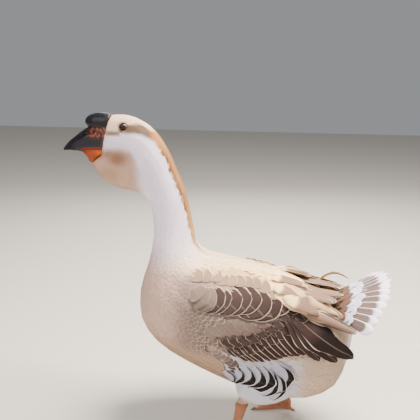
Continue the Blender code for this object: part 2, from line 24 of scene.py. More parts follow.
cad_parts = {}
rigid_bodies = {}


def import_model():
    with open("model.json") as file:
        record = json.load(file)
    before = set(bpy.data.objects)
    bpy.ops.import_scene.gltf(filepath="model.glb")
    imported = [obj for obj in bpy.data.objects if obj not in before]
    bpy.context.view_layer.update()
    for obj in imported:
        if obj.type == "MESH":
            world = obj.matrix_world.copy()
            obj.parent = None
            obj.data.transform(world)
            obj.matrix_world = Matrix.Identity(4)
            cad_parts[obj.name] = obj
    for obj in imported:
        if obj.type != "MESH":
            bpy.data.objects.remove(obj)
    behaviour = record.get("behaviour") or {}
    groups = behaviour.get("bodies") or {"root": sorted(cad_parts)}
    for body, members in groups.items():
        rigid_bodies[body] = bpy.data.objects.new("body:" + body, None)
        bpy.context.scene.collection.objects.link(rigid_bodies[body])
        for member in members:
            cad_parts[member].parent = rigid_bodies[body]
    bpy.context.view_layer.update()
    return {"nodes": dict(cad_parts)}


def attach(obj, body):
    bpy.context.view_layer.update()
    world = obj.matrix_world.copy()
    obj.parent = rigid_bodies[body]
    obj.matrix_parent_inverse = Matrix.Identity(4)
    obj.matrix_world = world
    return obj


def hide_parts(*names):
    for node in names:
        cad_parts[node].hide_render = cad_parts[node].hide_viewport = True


log = logging.getLogger("goose")
Array = np.ndarray
Pair = tuple[float, float]
Triple = tuple[float, float, float]

SEED = 20
TONE_DEPTH = 3.0            # over the usual 2.4, as soft light flattens dark tones
SIDES = {"left": 1, "right": -1}    # the sign of x on each side of the bird
FORM_VOXEL = 0.0032         # size of the faces that skin, form and wing are meshed with
FLESH = (
    "trunk", "neck_lower", "neck_upper", "head", "dewlap", "thigh_left", "thigh_right",
    "wing_left", "wing_right",
)
EYE_CENTRE = np.array((0.0212, -0.2194, 0.7012))
EYE_RADIUS = 0.0080
EYE_OPENING = (0.0062, 0.0041)  # half width and half height between the lids
EYE_HALF = (0.0106, 0.0080)     # and of the whole eye to the first feathers
BILL_BASE_Y = -0.270        # where horn begins, at the gape
BILL_BASE_Z = 0.651
BILL_LEAN = 0.22            # how far that line leans back, per metre up


def tone(red: int, green: int, blue: int) -> Triple:
    """A linear colour from 0 to 255 display values, deepened for the studio's soft light."""
    return tuple(((c / 255 + 0.055) / 1.055) ** TONE_DEPTH for c in (red, green, blue))


class Tone(Enum):
    """The colours of the bird's plumage and horn."""

    MANTLE = tone(255, 225, 172)
    MANTLE_SHADE = tone(216, 183, 144)
    LILAC_WHITE = tone(240, 226, 236)
    BREAST = tone(206, 178, 162)
    # a darker tan for the lower breast, partly its own tone and partly painted shade
    BREAST_LOW = tone(172, 147, 125)
    BELLY = tone(200, 179, 160)
    STRIPE = tone(184, 138, 94)
    STRIPE_DARK = tone(112, 70, 44)
    CROWN = tone(238, 210, 184)
    EYE_SMUDGE = tone(100, 73, 57)
    DEWLAP = tone(198, 164, 136)
    # painted shade: the hollow between cheek, gape and dewlap, darkened as if in shadow
    HOLLOW_SHADE = tone(150, 112, 86)
    LESSER = tone(146, 127, 117)
    COVERT = tone(116, 101, 92)
    SCAPULAR_PALE = tone(102, 86, 80)
    SCAPULAR = tone(84, 69, 64)
    QUILL = tone(72, 56, 52)
    QUILL_DARK = tone(50, 39, 37)
    EDGE = tone(218, 200, 184)
    WHITE = tone(236, 232, 238)
    # the flank's white and lilac, partly their own colour and partly painted shade: dimmed and
    # cooled as if under the wing
    FLANK_WHITE_SHADED = tone(198, 199, 207)
    FLANK_LILAC_SHADED = tone(180, 177, 185)
    FLANK_BAR = tone(46, 38, 36)
    TAIL_GREY = tone(126, 108, 102)
    TAIL_WHITE = tone(214, 210, 222)
    TAN_TERTIAL = tone(150, 125, 106)
    TERTIAL_PINK = tone(150, 124, 112)
    RUMP_DARK = tone(128, 102, 86)


def smooth(low: float | Array, high: float | Array, value: Array) -> Array:
    """A smooth ramp from 0 at low to 1 at high."""
    t = np.clip((value - low) / (high - low), 0, 1)
    return t * t * (3 - 2 * t)


def mixed(first: Array, second: Triple | Array, share: Array) -> Array:
    """Rows of colours, first where share is 0 and second where it is 1."""
    share = np.asarray(share)[:, None]
    return first * (1 - share) + np.asarray(second) * share


def layered(ground: Triple | Array, *layers: tuple[Triple | Array, Array]) -> Array:
    """Lays colours over one another.

    Args:
        ground: one colour for all rows, or rows of colours.
        layers: the same from the lowest up, each with its share in every row.

    Returns:
        Rows of colours.
    """
    rows = np.asarray(ground) + np.zeros((len(layers[0][1]), 3))
    for colour, share in layers:
        rows = mixed(rows, colour, share)
    return rows


def folded(points: Array) -> tuple[Array, Array, Array]:
    """How far points are from the bird's middle, how far back and how high."""
    return np.abs(points[:, 0]), points[:, 1], points[:, 2]


def unit(vectors: Array) -> Array:
    """The same vectors at length one."""
    return vectors / np.maximum(np.linalg.norm(vectors, axis=-1, keepdims=True), 1e-9)


# ---- meshes


def rows_of(items: bpy.types.bpy_prop_collection, name: str, width: int = 3) -> Array:
    """Reads one value of each of a mesh's items.

    Args:
        items: the vertices, normals or map corners.
        name: the value to read.
        width: how many numbers it has.

    Returns:
        The values as rows.
    """
    out = np.zeros(len(items) * width, np.float32)
    items.foreach_get(name, out)
    return out.reshape(-1, width).astype(float)


def vertices_of(mesh: Mesh) -> Array:
    """A mesh's vertices as rows."""
    return rows_of(mesh.vertices, "co")


def vertex_normals(mesh: Mesh) -> Array:
    """A mesh's vertex normals as rows."""
    return rows_of(mesh.vertex_normals, "vector")


def linked(name: str, data: bpy.types.ID) -> Object:
    """Puts a new object into the scene.

    Args:
        name: its name.
        data: its mesh, lamp or camera.

    Returns:
        The object.
    """
    made = bpy.data.objects.new(name, data)
    bpy.context.scene.collection.objects.link(made)
    return made


def from_bmesh(name: str, bm: bmesh.types.BMesh) -> Object:
    """Makes an object with its faces turned outwards.

    Args:
        name: its name.
        bm: its shape, which is freed.

    Returns:
        The object.
    """
    bmesh.ops.recalc_face_normals(bm, faces=bm.faces)
    mesh = bpy.data.meshes.new(name)
    bm.to_mesh(mesh)
    bm.free()
    mesh.shade_smooth()
    return linked(name, mesh)


def joined_copy(name: str, nodes: dict[str, Object], chosen: tuple[str, ...]) -> Object:
    """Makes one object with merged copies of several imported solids.

    Args:
        name: its name.
        nodes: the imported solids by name.
        chosen: the names of those to join.

    Returns:
        The object.
    """
    bm = bmesh.new()
    for node in chosen:
        part = bmesh.new()
        part.from_mesh(nodes[node].data)
        bmesh.ops.remove_doubles(part, verts=part.verts, dist=1e-5)
        spare = bpy.data.meshes.new("spare")
        part.to_mesh(spare)
        part.free()
        bm.from_mesh(spare)
        bpy.data.meshes.remove(spare)
    return from_bmesh(name, bm)


def softened(obj: Object, rounds: int, weights: Array | None = None) -> Object:
    """Smooths an object's surface, all over or where it is told to.

    Args:
        obj: the object, which is changed.
        rounds: how often.
        weights: how much each vertex is smoothed, from 0 to 1, or None for fully.

    Returns:
        The same object.
    """
    soften = obj.modifiers.new("soften", "SMOOTH")
    soften.factor = 0.5
    soften.iterations = rounds
    if weights is not None:
        group = obj.vertex_groups.new(name="soft")
        steps = np.round(weights * 5).astype(int)
        for step in range(1, 6):
            group.add(np.flatnonzero(steps == step).tolist(), step / 5, "REPLACE")
        soften.vertex_group = group.name
    mesh = bpy.data.meshes.new_from_object(
        obj.evaluated_get(bpy.context.evaluated_depsgraph_get()))
    obj.modifiers.clear()
    obj.vertex_groups.clear()
    old = obj.data
    obj.data = mesh
    bpy.data.meshes.remove(old)
    mesh.name = obj.name
    mesh.shade_smooth()
    return obj


def grown_together(obj: Object, voxel: float, rounds: int) -> Object:
    """Remeshes an object into one closed skin and rounds off its steps.

    Args:
        obj: the object, which is changed.
        voxel: size of the new faces.
        rounds: how often the surface is smoothed.

    Returns:
        The same object.
    """
    remesh = obj.modifiers.new("remesh", "REMESH")
    remesh.mode = "VOXEL"
    remesh.voxel_size = voxel
    return softened(obj, rounds)


def move_vertices(mesh: Mesh, places: Array) -> None:
    """Puts a mesh's vertices at new places."""
    mesh.vertices.foreach_set("co", places.astype(np.float32).ravel())
    mesh.update()


def paint(mesh: Mesh, rgb: Array | Triple, alpha: Array | float = 1.0,
          name: str = "painted") -> None:
    """Writes one colour for each vertex into a colour attribute.

    Args:
        mesh: the mesh to paint.
        rgb: a linear colour for each vertex, or one for all.
        alpha: a fourth value for each vertex, or one for all.
        name: the attribute's name.
    """
    attribute = mesh.color_attributes.new(name, "FLOAT_COLOR", "POINT")
    rows = np.ones((len(mesh.vertices), 4), np.float32)
    rows[:, :3] = rgb
    rows[:, 3] = alpha
    attribute.data.foreach_set("color", rows.ravel())


def tree_of(points: Array) -> KDTree:
    """Sorts points in space.

    Args:
        points: the points.

    Returns:
        A tree that finds them, with their numbers.
    """
    tree = KDTree(len(points))
    for i, point in enumerate(points.tolist()):
        tree.insert(point, i)
    tree.balance()
    return tree


class Surface:
    """A closed surface that feathers are laid on."""

    sign = 1                    # places on it are handled as they stand

    def __init__(self, obj: Object) -> None:
        """Reads the object's mesh and sorts its faces in space.

        Args:
            obj: an object with a closed mesh.
        """
        mesh = obj.data
        self.places = vertices_of(mesh)
        self.faces = [tuple(p.vertices) for p in mesh.polygons]
        self.tree = BVHTree.FromPolygons([Vector(p) for p in self.places], self.faces)
        normals = vertex_normals(mesh)
        self.soft = unit(np.array([normals[list(face)].mean(axis=0) for face in self.faces]))

    def snap(self, points: Array) -> tuple[Array, Array, Array]:
        """Brings points to the surface.

        Args:
            points: places near it, as rows.

        Returns:
            The nearest places, the normals there and the faces they are on.
        """
        places = np.empty_like(points)
        found = np.empty(len(points), int)
        nearest = self.tree.find_nearest
        for i, point in enumerate(points.tolist()):
            place, _, face, _ = nearest(point)
            places[i] = place
            found[i] = face
        return places, self.soft[found], found


@dataclass(frozen=True)
class Side:
    """One side of a surface, handled as if it were the bird's left."""

    surface: Surface
    sign: int                   # 1 for left and -1 for right
    start: float = 0.4          # how far out rays start

    @property
    def flip(self) -> Array:
        """What turns points over from this side to the left and back."""
        return np.array((self.sign, 1, 1))

    def snap(self, points: Array) -> tuple[Array, Array, Array]:
        """The nearest places on the surface, the normals there and the faces they are on."""
        places, normals, faces = self.surface.snap(points * self.flip)
        return places * self.flip, normals * self.flip, faces

    def cast(self, y: Array, z: Array) -> tuple[Array, Array]:
        """Sends rays inwards from the side.

        Args:
            y, z: where they are in the side view.

        Returns:
            The places where rays first meet the surface, and which of them do.
        """
        places = np.column_stack([np.zeros(len(y)), y, z])
        hit = np.zeros(len(y), bool)
        for i, (_, ahead, up) in enumerate(places.tolist()):
            place, _, _, _ = self.surface.tree.ray_cast((self.sign * self.start, ahead, up),
                                                        (-self.sign, 0, 0))
            if place is not None:
                places[i, 0] = place[0] * self.sign
                hit[i] = True
        return places, hit


# ---- feathers


@dataclass(frozen=True)
class Template:
    """A vane as rows of across, along and layer values, made once and then repeated."""

    across: Array
    along: Array
    layer: Array
    faces: Array

    @staticmethod
    def made(columns: int, rows: int, is_thick: bool) -> Template:
        """Makes a vane from a grid.

        Args:
            columns: faces across it.
            rows: faces along it.
            is_thick: whether it has an underside.

        Returns:
            The vane.
        """
        bm = bmesh.new()
        bmesh.ops.create_grid(bm, x_segments=columns, y_segments=rows, size=1)
        if is_thick:
            bmesh.ops.solidify(bm, geom=bm.faces[:], thickness=1.0)
            bmesh.ops.recalc_face_normals(bm, faces=bm.faces)
        co = np.array([v.co for v in bm.verts])
        faces = np.array([[v.index for v in f.verts] for f in bm.faces])
        bm.free()
        layer = co[:, 2] - co[:, 2].max()
        return Template(co[:, 0], (co[:, 1] + 1) / 2, layer, faces)


@dataclass
class Vanes:
    """Many feathers of one kind, each a row in every array."""

    roots: Array
    lies: Array
    lengths: Array
    widths: Array
    base: Array
    band: Array
    band_from: Array
    rim: Array


@dataclass(frozen=True)
class Lay:
    """The shape of vanes and how they lie on their surface."""

    sunk: float = 0.0020        # depth of the root under the surface
    proud: float = 0.0006       # height of the tip over it
    roll: float = 0.0           # height of the upper edge over the lower one
    camber: float = 0.0004      # fall of both edges below the shaft
    tip_round: float = 0.32     # how far the corners lie back from the tip
    root_width: float = 0.45
    tip_width: float = 0.80
    ragged: float = 0.03
    thickness: float = 0.0005


@dataclass
class VaneSheet:
    """Collects feathers into one mesh."""

    name: str
    template: Template          # the vane that it repeats
    rng: np.random.Generator
    places: list[Array] = field(default_factory=list)
    tones: list[tuple[Array, Array, Array, Array]] = field(default_factory=list)
    roots: list[Array] = field(default_factory=list)
    turned: list[Array] = field(default_factory=list)
    widest: float = 0.55        # share of the length by which a vane is at its widest
    draws: int = 64             # random lengths drawn for a vane, more than it has columns
    column_step: float = 1 / 8  # distance of the columns that get one, over half a vane
    cell_margin: float = 0.06   # of a feather's own cell on the bake map

    def outline(self, vanes: Vanes, lay: Lay) -> tuple[Array, Array, Array]:
        """Works out the shape of vanes on a flat surface.

        Args:
            vanes: the feathers.
            lay: how they lie.

        Returns:
            How far each vane's points lie across and along it, and how high over its surface.
        """
        t, s, layer = self.template.across, self.template.along, self.template.layer
        count = len(vanes.lengths)
        widen = lay.root_width + (1 - lay.root_width) * smooth(0.0, self.widest, s)
        narrow = 1 - (1 - lay.tip_width) * smooth(self.widest, 1.0, s)
        across = np.outer(vanes.widths / 2, t * widen * narrow)
        back = lay.tip_round * (1 - np.sqrt(1 - (0.96 * t) ** 2)) * 1.35
        lengths = np.outer(vanes.lengths, s * (1 - back * smooth(0.1, 1.0, s)))
        ragged = self.rng.uniform(-lay.ragged, lay.ragged, (count, self.draws))
        column = np.round((t + 1) / self.column_step).astype(int)
        along = lengths * (1 + ragged[:, column] * smooth(0.75, 1.0, s))
        height = -lay.sunk + (lay.sunk + lay.proud) * s
        height = height + lay.roll * t * 0.5 - lay.camber * t * t
        edge = 1 - 0.75 * np.maximum(np.abs(t), smooth(0.8, 1.0, s)) ** 4
        height = height + layer * lay.thickness * edge
        return across, along, np.broadcast_to(height, across.shape)

    def lay(self, vanes: Vanes, lay: Lay, surface: Surface | Side) -> None:
        """Lays vanes along a surface.

        Args:
            vanes: the feathers, whose roots lie on the surface.
            lay: how they lie.
            surface: what each point of them is brought to.
        """
        across, along, height = self.outline(vanes, lay)
        _, normals, _ = surface.snap(vanes.roots)
        lies = unit(vanes.lies - normals * np.sum(vanes.lies * normals, axis=1, keepdims=True))
        sides = np.cross(normals, lies)
        points = (
            vanes.roots[:, None, :] + lies[:, None, :] * along[:, :, None]
            + sides[:, None, :] * across[:, :, None]
        )
        places, up, _ = surface.snap(points.reshape(-1, 3))
        placed = places + up * height.reshape(-1, 1)
        self.keep(vanes, placed.reshape(points.shape), surface.sign)

    def bend(self, plume: Plume, sign: int) -> None:
        """Adds one free feather that bends through three points.

        Args:
            plume: the feather.
            sign: 1 for the left of the bird and -1 for the right.
        """
        root, middle, tip = (np.array(point) for point in (plume.root, plume.middle, plume.tip))
        length = np.linalg.norm(middle - root) + np.linalg.norm(tip - middle)
        one = np.ones(1)
        shade = self.rng.uniform(0.94, 1.06)
        vanes = Vanes(root[None], (tip - root)[None], one * length, one * plume.width,
                      np.array([plume.base.value]) * shade, np.array([plume.band.value]) * shade,
                      one * plume.band_from, one * plume.rim)
        lay = Lay(sunk=0, proud=0, camber=plume.camber, tip_round=plume.tip_round,
                  root_width=0.5, tip_width=plume.tip_width, ragged=0.012, thickness=0.0006)
        across, along, height = (rows[0] for rows in self.outline(vanes, lay))
        share = (along / length)[:, None]
        pull = 2 * middle - (root + tip) / 2
        line = (1 - share) ** 2 * root + 2 * share * (1 - share) * pull + share ** 2 * tip
        head = unit((1 - share) * (pull - root) + share * (tip - pull))
        facing = np.array(plume.facing)
        aside = unit(np.cross(np.broadcast_to(facing, head.shape), head))
        up = np.cross(head, aside)
        points = line + aside * across[:, None] + up * height[:, None]
        self.keep(vanes, points[None], sign)

    def keep(self, vanes: Vanes, points: Array, sign: int = 1, turned: bool | None = None) -> None:
        """Adds finished vanes.

        Args:
            vanes: the feathers.
            points: each feather's vertices, as if on the bird's left.
            sign: -1 to mirror them to the right.
            turned: whether their faces are listed the other way round, or None for what
                feathers laid on a side need.
        """
        flip = np.array((sign, 1, 1))
        self.places.append(points * flip)
        self.tones.append((vanes.base, vanes.band, vanes.band_from, vanes.rim))
        self.roots.append(vanes.roots * flip)
        self.turned.append(np.full(len(points), sign > 0 if turned is None else turned))

    def spots(self) -> Array:
        """Finds where the vanes hide what is under them.

        Returns:
            Places on the tops of all vanes, without their roots and edges.
        """
        t, s, layer = self.template.across, self.template.along, self.template.layer
        kept = (np.abs(t) < 0.85) & (s > 0.32) & (s < 0.97) & (layer > -0.5)
        return np.concatenate([points[:, kept].reshape(-1, 3) for points in self.places])

    def object(self, skin: SkinMap | None = None) -> Object:
        """Makes the one mesh, with its vane map, its bake map and its colours.

        Args:
            skin: the unwrap on which each feather shares a small patch at its root's place,
                or None to give each feather a cell of its own.

        Returns:
            The new object.
        """
        points = np.concatenate(self.places)
        count, each = points.shape[:2]
        turned = np.concatenate(self.turned)
        faces = self.template.faces[None] + (np.arange(count) * each)[:, None, None]
        faces = np.where(turned[:, None, None], faces[:, :, ::-1], faces).reshape(-1, 4)
        mesh = bpy.data.meshes.new(self.name)
        mesh.vertices.add(count * each)
        mesh.vertices.foreach_set("co", points.astype(np.float32).ravel())
        mesh.loops.add(faces.size)
        mesh.loops.foreach_set("vertex_index", faces.astype(np.int32).ravel())
        mesh.polygons.add(len(faces))
        mesh.polygons.foreach_set("loop_start", np.arange(0, faces.size, 4, dtype=np.int32))
        mesh.update(calc_edges=True)
        own = np.stack([(self.template.across + 1) / 2, self.template.along], axis=1)
        vane_map = np.tile(own, (count, 1))
        if skin:
            middle = skin.at(np.concatenate(self.roots))
            bake = middle[:, None, :] + skin.patch * (own[None] - 0.5)
        else:
            side = math.ceil(math.sqrt(count))
            cell = np.stack([np.arange(count) % side, np.arange(count) // side], axis=1)
            own = self.cell_margin + (1 - 2 * self.cell_margin) * own
            bake = (cell[:, None, :] + own[None]) / side
        for name, rows in (("OFBake", bake.reshape(-1, 2)), ("Vane", vane_map)):
            layer = mesh.uv_layers.new(name=name)
            layer.data.foreach_set("uv", rows[faces.ravel()].astype(np.float32).ravel())
        base, band, band_from, rim = (np.concatenate(parts) for parts in zip(*self.tones))
        for name, rgb, alpha in (("vane_base", base, band_from), ("vane_band", band, rim)):
            paint(mesh, np.repeat(rgb, each, axis=0), np.repeat(alpha, each), name)
        mesh.shade_smooth()
        return linked(self.name, mesh)


class SkinMap:
    """The skin's unwrap, read at any place near the skin."""

    patch = 0.003               # size on the map of one small feather's share

    def __init__(self, skin: Object) -> None:
        """Unwraps the skin and keeps the middle of each face on the map.

        Args:
            skin: the skin's object.
        """
        for other in bpy.context.selected_objects:
            other.select_set(False)
        bpy.context.view_layer.objects.active = skin
        skin.select_set(True)
        skin.data.uv_layers.new(name="OFBake")
        bpy.ops.object.mode_set(mode="EDIT")
        bpy.ops.mesh.select_all(action="SELECT")
        bpy.ops.uv.smart_project(angle_limit=math.radians(75), island_margin=0.004)
        bpy.ops.object.mode_set(mode="OBJECT")
        uv = rows_of(skin.data.uv_layers["OFBake"].data, "uv", 2)
        self.middles = np.array([uv[p.loop_start:p.loop_start + p.loop_total].mean(axis=0)
                                 for p in skin.data.polygons])
        self.surface = Surface(skin)

    def at(self, points: Array) -> Array:
        """The map's places for points near the skin."""
        _, _, faces = self.surface.snap(points)
        return self.middles[faces]


# ---- markings


@dataclass
class Spine:
    """The body's line from the bill to the tail, as (y, z) points, which the coat follows."""

    points: tuple[Pair, ...] = (
        (-0.285, 0.690), (-0.235, 0.684), (-0.190, 0.666), (-0.158, 0.630), (-0.140, 0.580),
        (-0.128, 0.520), (-0.122, 0.460), (-0.118, 0.390), (-0.080, 0.310), (-0.010, 0.265),
        (0.080, 0.250), (0.165, 0.262), (0.240, 0.292), (0.330, 0.335),
    )
    reach: float = 0.042

    def __post_init__(self) -> None:
        """Works out each stretch's middle, direction and distance from the bill."""
        line = np.array(self.points)
        steps = np.diff(line, axis=0)
        lengths = np.linalg.norm(steps, axis=1)
        self.middles = line[:-1] + steps / 2
        self.ways = np.cumsum(lengths) - lengths / 2
        self.heads = np.column_stack([np.zeros(len(steps)), steps / lengths[:, None]])

    def shares(self, points: Array) -> Array:
        """Works out which stretches of the line a point belongs to.

        Args:
            points: places as rows.

        Returns:
            How much each stretch counts at each point.
        """
        gaps = points[:, None, 1:] - self.middles[None]
        square = np.sum(gaps ** 2, axis=2)
        square -= square.min(axis=1, keepdims=True)
        weights = np.exp(-square / (2 * self.reach ** 2))
        return weights / weights.sum(axis=1, keepdims=True)

    def way(self, points: Array) -> Array:
        """Distance from the bill along the body, at each point."""
        return self.shares(points) @ self.ways

    def middle(self, points: Array) -> Array:
        """The point of the line that belongs to each point, as (y, z)."""
        return self.shares(points) @ self.middles

    def lie(self, points: Array) -> Array:
        """Works out the direction in which the coat lies.

        Args:
            points: places as rows.

        Returns:
            A direction for each point.
        """
        along = self.shares(points) @ self.heads
        x, y, z = folded(points)
        thigh = smooth(0.050, 0.075, x) * smooth(0.200, 0.150, z)
        thigh *= smooth(0.030, 0.050, y) * smooth(0.200, 0.170, y)
        down = np.array((0.0, 0.55, -0.83))
        return unit(along * (1 - thigh[:, None]) + down * thigh[:, None])


def level(y: Array, *points: Pair) -> Array:
    """The height at each y of a line through a few (y, z) points."""
    return np.interp(y, *zip(*points))


def horn_base(z: Array) -> Array:
    """Where feathers end and horn begins, at each height."""
    return BILL_BASE_Y + BILL_LEAN * (z - BILL_BASE_Z)


def blob(y: Array, z: Array, middle: Pair, half: Pair) -> Array:
    """A soft oval spot in the side view, 1 at its middle."""
    square = ((y - middle[0]) / half[0]) ** 2 + ((z - middle[1]) / half[1]) ** 2
    return np.exp(-square ** 1.4)


@dataclass
class Markings:
    """The colours of the plumage, painted on skin and coat alike."""

    spine: Spine = field(default_factory=Spine)
    stripe_half: float = 0.0215

    def colours(self, points: Array) -> Array:
        """The plumage's colour at places on the body.

        Args:
            points: places on the body, as rows.

        Returns:
            A linear colour for each place.
        """
        _, y, z = folded(points)
        # darker towards the bottom: partly the breast's own tone, partly painted shade from light
        # falling from above
        out = layered(Tone.BREAST.value, (Tone.BREAST_LOW.value, smooth(0.300, 0.200, z)),
                      (Tone.BELLY.value, smooth(0.010, 0.100, y)))
        return self.face(self.neck(self.trunk(out, points), points), points)

    def trunk(self, out: Array, points: Array) -> Array:
        """Adds mantle, wing shade, flank, rump and vent.

        Args:
            out: rows of colours so far.
            points: the places.

        Returns:
            Rows of colours.
        """
        x, y, z = folded(points)
        wave = 0.5 + 0.5 * np.sin(37 * y + 11) * np.sin(53 * z + 23 * x)
        edge = level(y, (-0.120, 0.400), (-0.060, 0.402), (-0.020, 0.392), (0.035, 0.382),
                     (0.088, 0.376), (0.122, 0.360), (0.154, 0.350), (0.185, 0.330))
        back = smooth(edge - 0.016, edge + 0.004, z) * smooth(-0.125, -0.045, y)
        wing = smooth(0.236, 0.256, z) * smooth(0.366, 0.340, z) * smooth(0.080, 0.104, x)
        wing *= smooth(-0.050, 0.010, y) * smooth(0.300, 0.280, y)
        side = smooth(0.215, 0.255, z) * smooth(0.410, 0.382, z) * smooth(0.050, 0.085, x)
        side *= smooth(-0.115, -0.058, y) * smooth(0.150, 0.080, y)
        # the flank under the wing takes the dimmed white, which holds painted shade
        flank = smooth(0.248, 0.232, z) * smooth(0.118, 0.150, z) * smooth(0.050, 0.075, x)
        flank *= smooth(0.020, 0.055, y) * smooth(0.195, 0.165, y)
        rump = smooth(0.222, 0.242, y) * smooth(0.284, 0.272, y) * smooth(0.312, 0.326, z)
        return layered(
            out, (Tone.MANTLE.value, back),
            (Tone.MANTLE_SHADE.value, back * 0.35 * wave * smooth(0.02, 0.09, x)),
            (Tone.LESSER.value, np.maximum(wing * 0.95, side * 0.80)),
            (Tone.FLANK_WHITE_SHADED.value, flank), (Tone.RUMP_DARK.value, rump * smooth(0.085, 0.060, x)),
            (Tone.WHITE.value, smooth(0.276, 0.292, y)))

    def neck(self, out: Array, points: Array) -> Array:
        """Adds the white sides and the brown stripe down the hindneck.

        Args:
            out: rows of colours so far.
            points: the places.

        Returns:
            Rows of colours.
        """
        x, y, z = folded(points)
        way, middle = self.spine.way(points), self.spine.middle(points)
        behind = (y - middle[:, 0]) + 0.35 * (z - middle[:, 1])
        half = self.stripe_half * (0.74 + 0.26 * smooth(0.460, 0.600, z))
        half = half * (0.30 + 0.70 * smooth(0.400, 0.475, z))
        frayed = 0.0022 * np.sin(260 * z) * np.sin(97 * z + 2)
        stripe = smooth(half + 0.0032, half - 0.0022, x + frayed) * smooth(-0.004, 0.006, behind)
        stripe *= smooth(0.395, 0.440, z) * smooth(0.085, 0.105, way)
        mottle = 0.5 + 0.5 * np.sin(330 * z + 140 * x) * np.sin(610 * x + 90 * z)
        dark = 0.10 + (0.40 + 0.50 * mottle) * smooth(0.35 * half, 0.95 * half, x)
        brown = layered(Tone.STRIPE.value, (Tone.STRIPE_DARK.value, dark),
                        (Tone.MANTLE.value, 0.25 * smooth(0.560, 0.420, z)))
        return layered(out, (Tone.LILAC_WHITE.value, smooth(0.375, 0.470, z)), (brown, stripe))

    def face(self, out: Array, points: Array) -> Array:
        """Adds crown, cheek, the smudge through the eye, the chin, the dewlap and painted shade in
        the hollow behind the gape.

        Args:
            out: rows of colours so far.
            points: the places.

        Returns:
            Rows of colours.
        """
        x, y, z = folded(points)
        on_head = smooth(-0.140, -0.162, y) * smooth(0.600, 0.625, z)
        cheek_top = level(y, (-0.262, 0.676), (-0.236, 0.6825), (-0.200, 0.688), (-0.170, 0.689))
        crown = smooth(cheek_top - 0.001, cheek_top + 0.005, z) * on_head
        band = level(y, (-0.232, 0.6935), (-0.2103, 0.6962), (-0.1943, 0.6977), (-0.1786, 0.6966),
                     (-0.1600, 0.6900), (-0.1480, 0.6800))
        thick = level(y, (-0.232, 0.0070), (-0.205, 0.0140), (-0.165, 0.0190))
        behind = smooth(thick, 0.35 * thick, np.abs(z - band)) * smooth(-0.236, -0.222, y)
        lore = smooth(0.0075, 0.0016, np.abs(z - 0.6865)) * smooth(-0.264, -0.252, y)
        lore *= smooth(-0.222, -0.230, y)
        ring = blob(y, z, (EYE_CENTRE[1], EYE_CENTRE[2]), (0.0115, 0.0085))
        smudge = np.maximum(np.maximum(behind * 0.90, lore * 0.75), ring * 0.90)
        nape = smooth(0.026, 0.020, x) * smooth(-0.172, -0.150, y) * smooth(0.640, 0.670, z)
        chin_top = level(y, (-0.257, 0.6545), (-0.224, 0.6570), (-0.201, 0.6531), (-0.186, 0.631),
                         (-0.179, 0.600))
        chin = smooth(chin_top + 0.004, chin_top - 0.013, z) * smooth(-0.168, -0.206, y)
        chin *= smooth(0.535, 0.560, z)
        # painted shade in the hollow behind the gape, and fainter below it on the dewlap
        hollow_shade = np.maximum(blob(y, z, (-0.2345, 0.6330), (0.0250, 0.0175)) * 0.85,
                            blob(y, z, (-0.2520, 0.6410), (0.0180, 0.0120)) * 0.65)
        hollow_shade = np.maximum(hollow_shade, blob(y, z, (-0.2550, 0.5960), (0.0260, 0.0200)) * 0.30)
        base = horn_base(z)
        lips = smooth(base + 0.0075, base + 0.001, y) * smooth(0.708, 0.690, z)
        lips *= smooth(0.622, 0.640, z)
        return layered(
            out, (Tone.CROWN.value, crown),
            (Tone.EYE_SMUDGE.value, smudge * smooth(0.010, 0.016, x) * on_head),
            (Tone.STRIPE.value, nape * 0.8), (Tone.DEWLAP.value, chin * 0.92),
            (Tone.HOLLOW_SHADE.value, hollow_shade), (Tone.EYE_SMUDGE.value, lips * 0.55))


@dataclass(frozen=True)
class Stretch:
    """A stretch of the coat that makes one piece."""

    name: str
    start: float                # distances from the bill along the body
    end: float
    columns: int                # faces across and along each feather
    rows: int
    slim: float                 # width as a share of the length


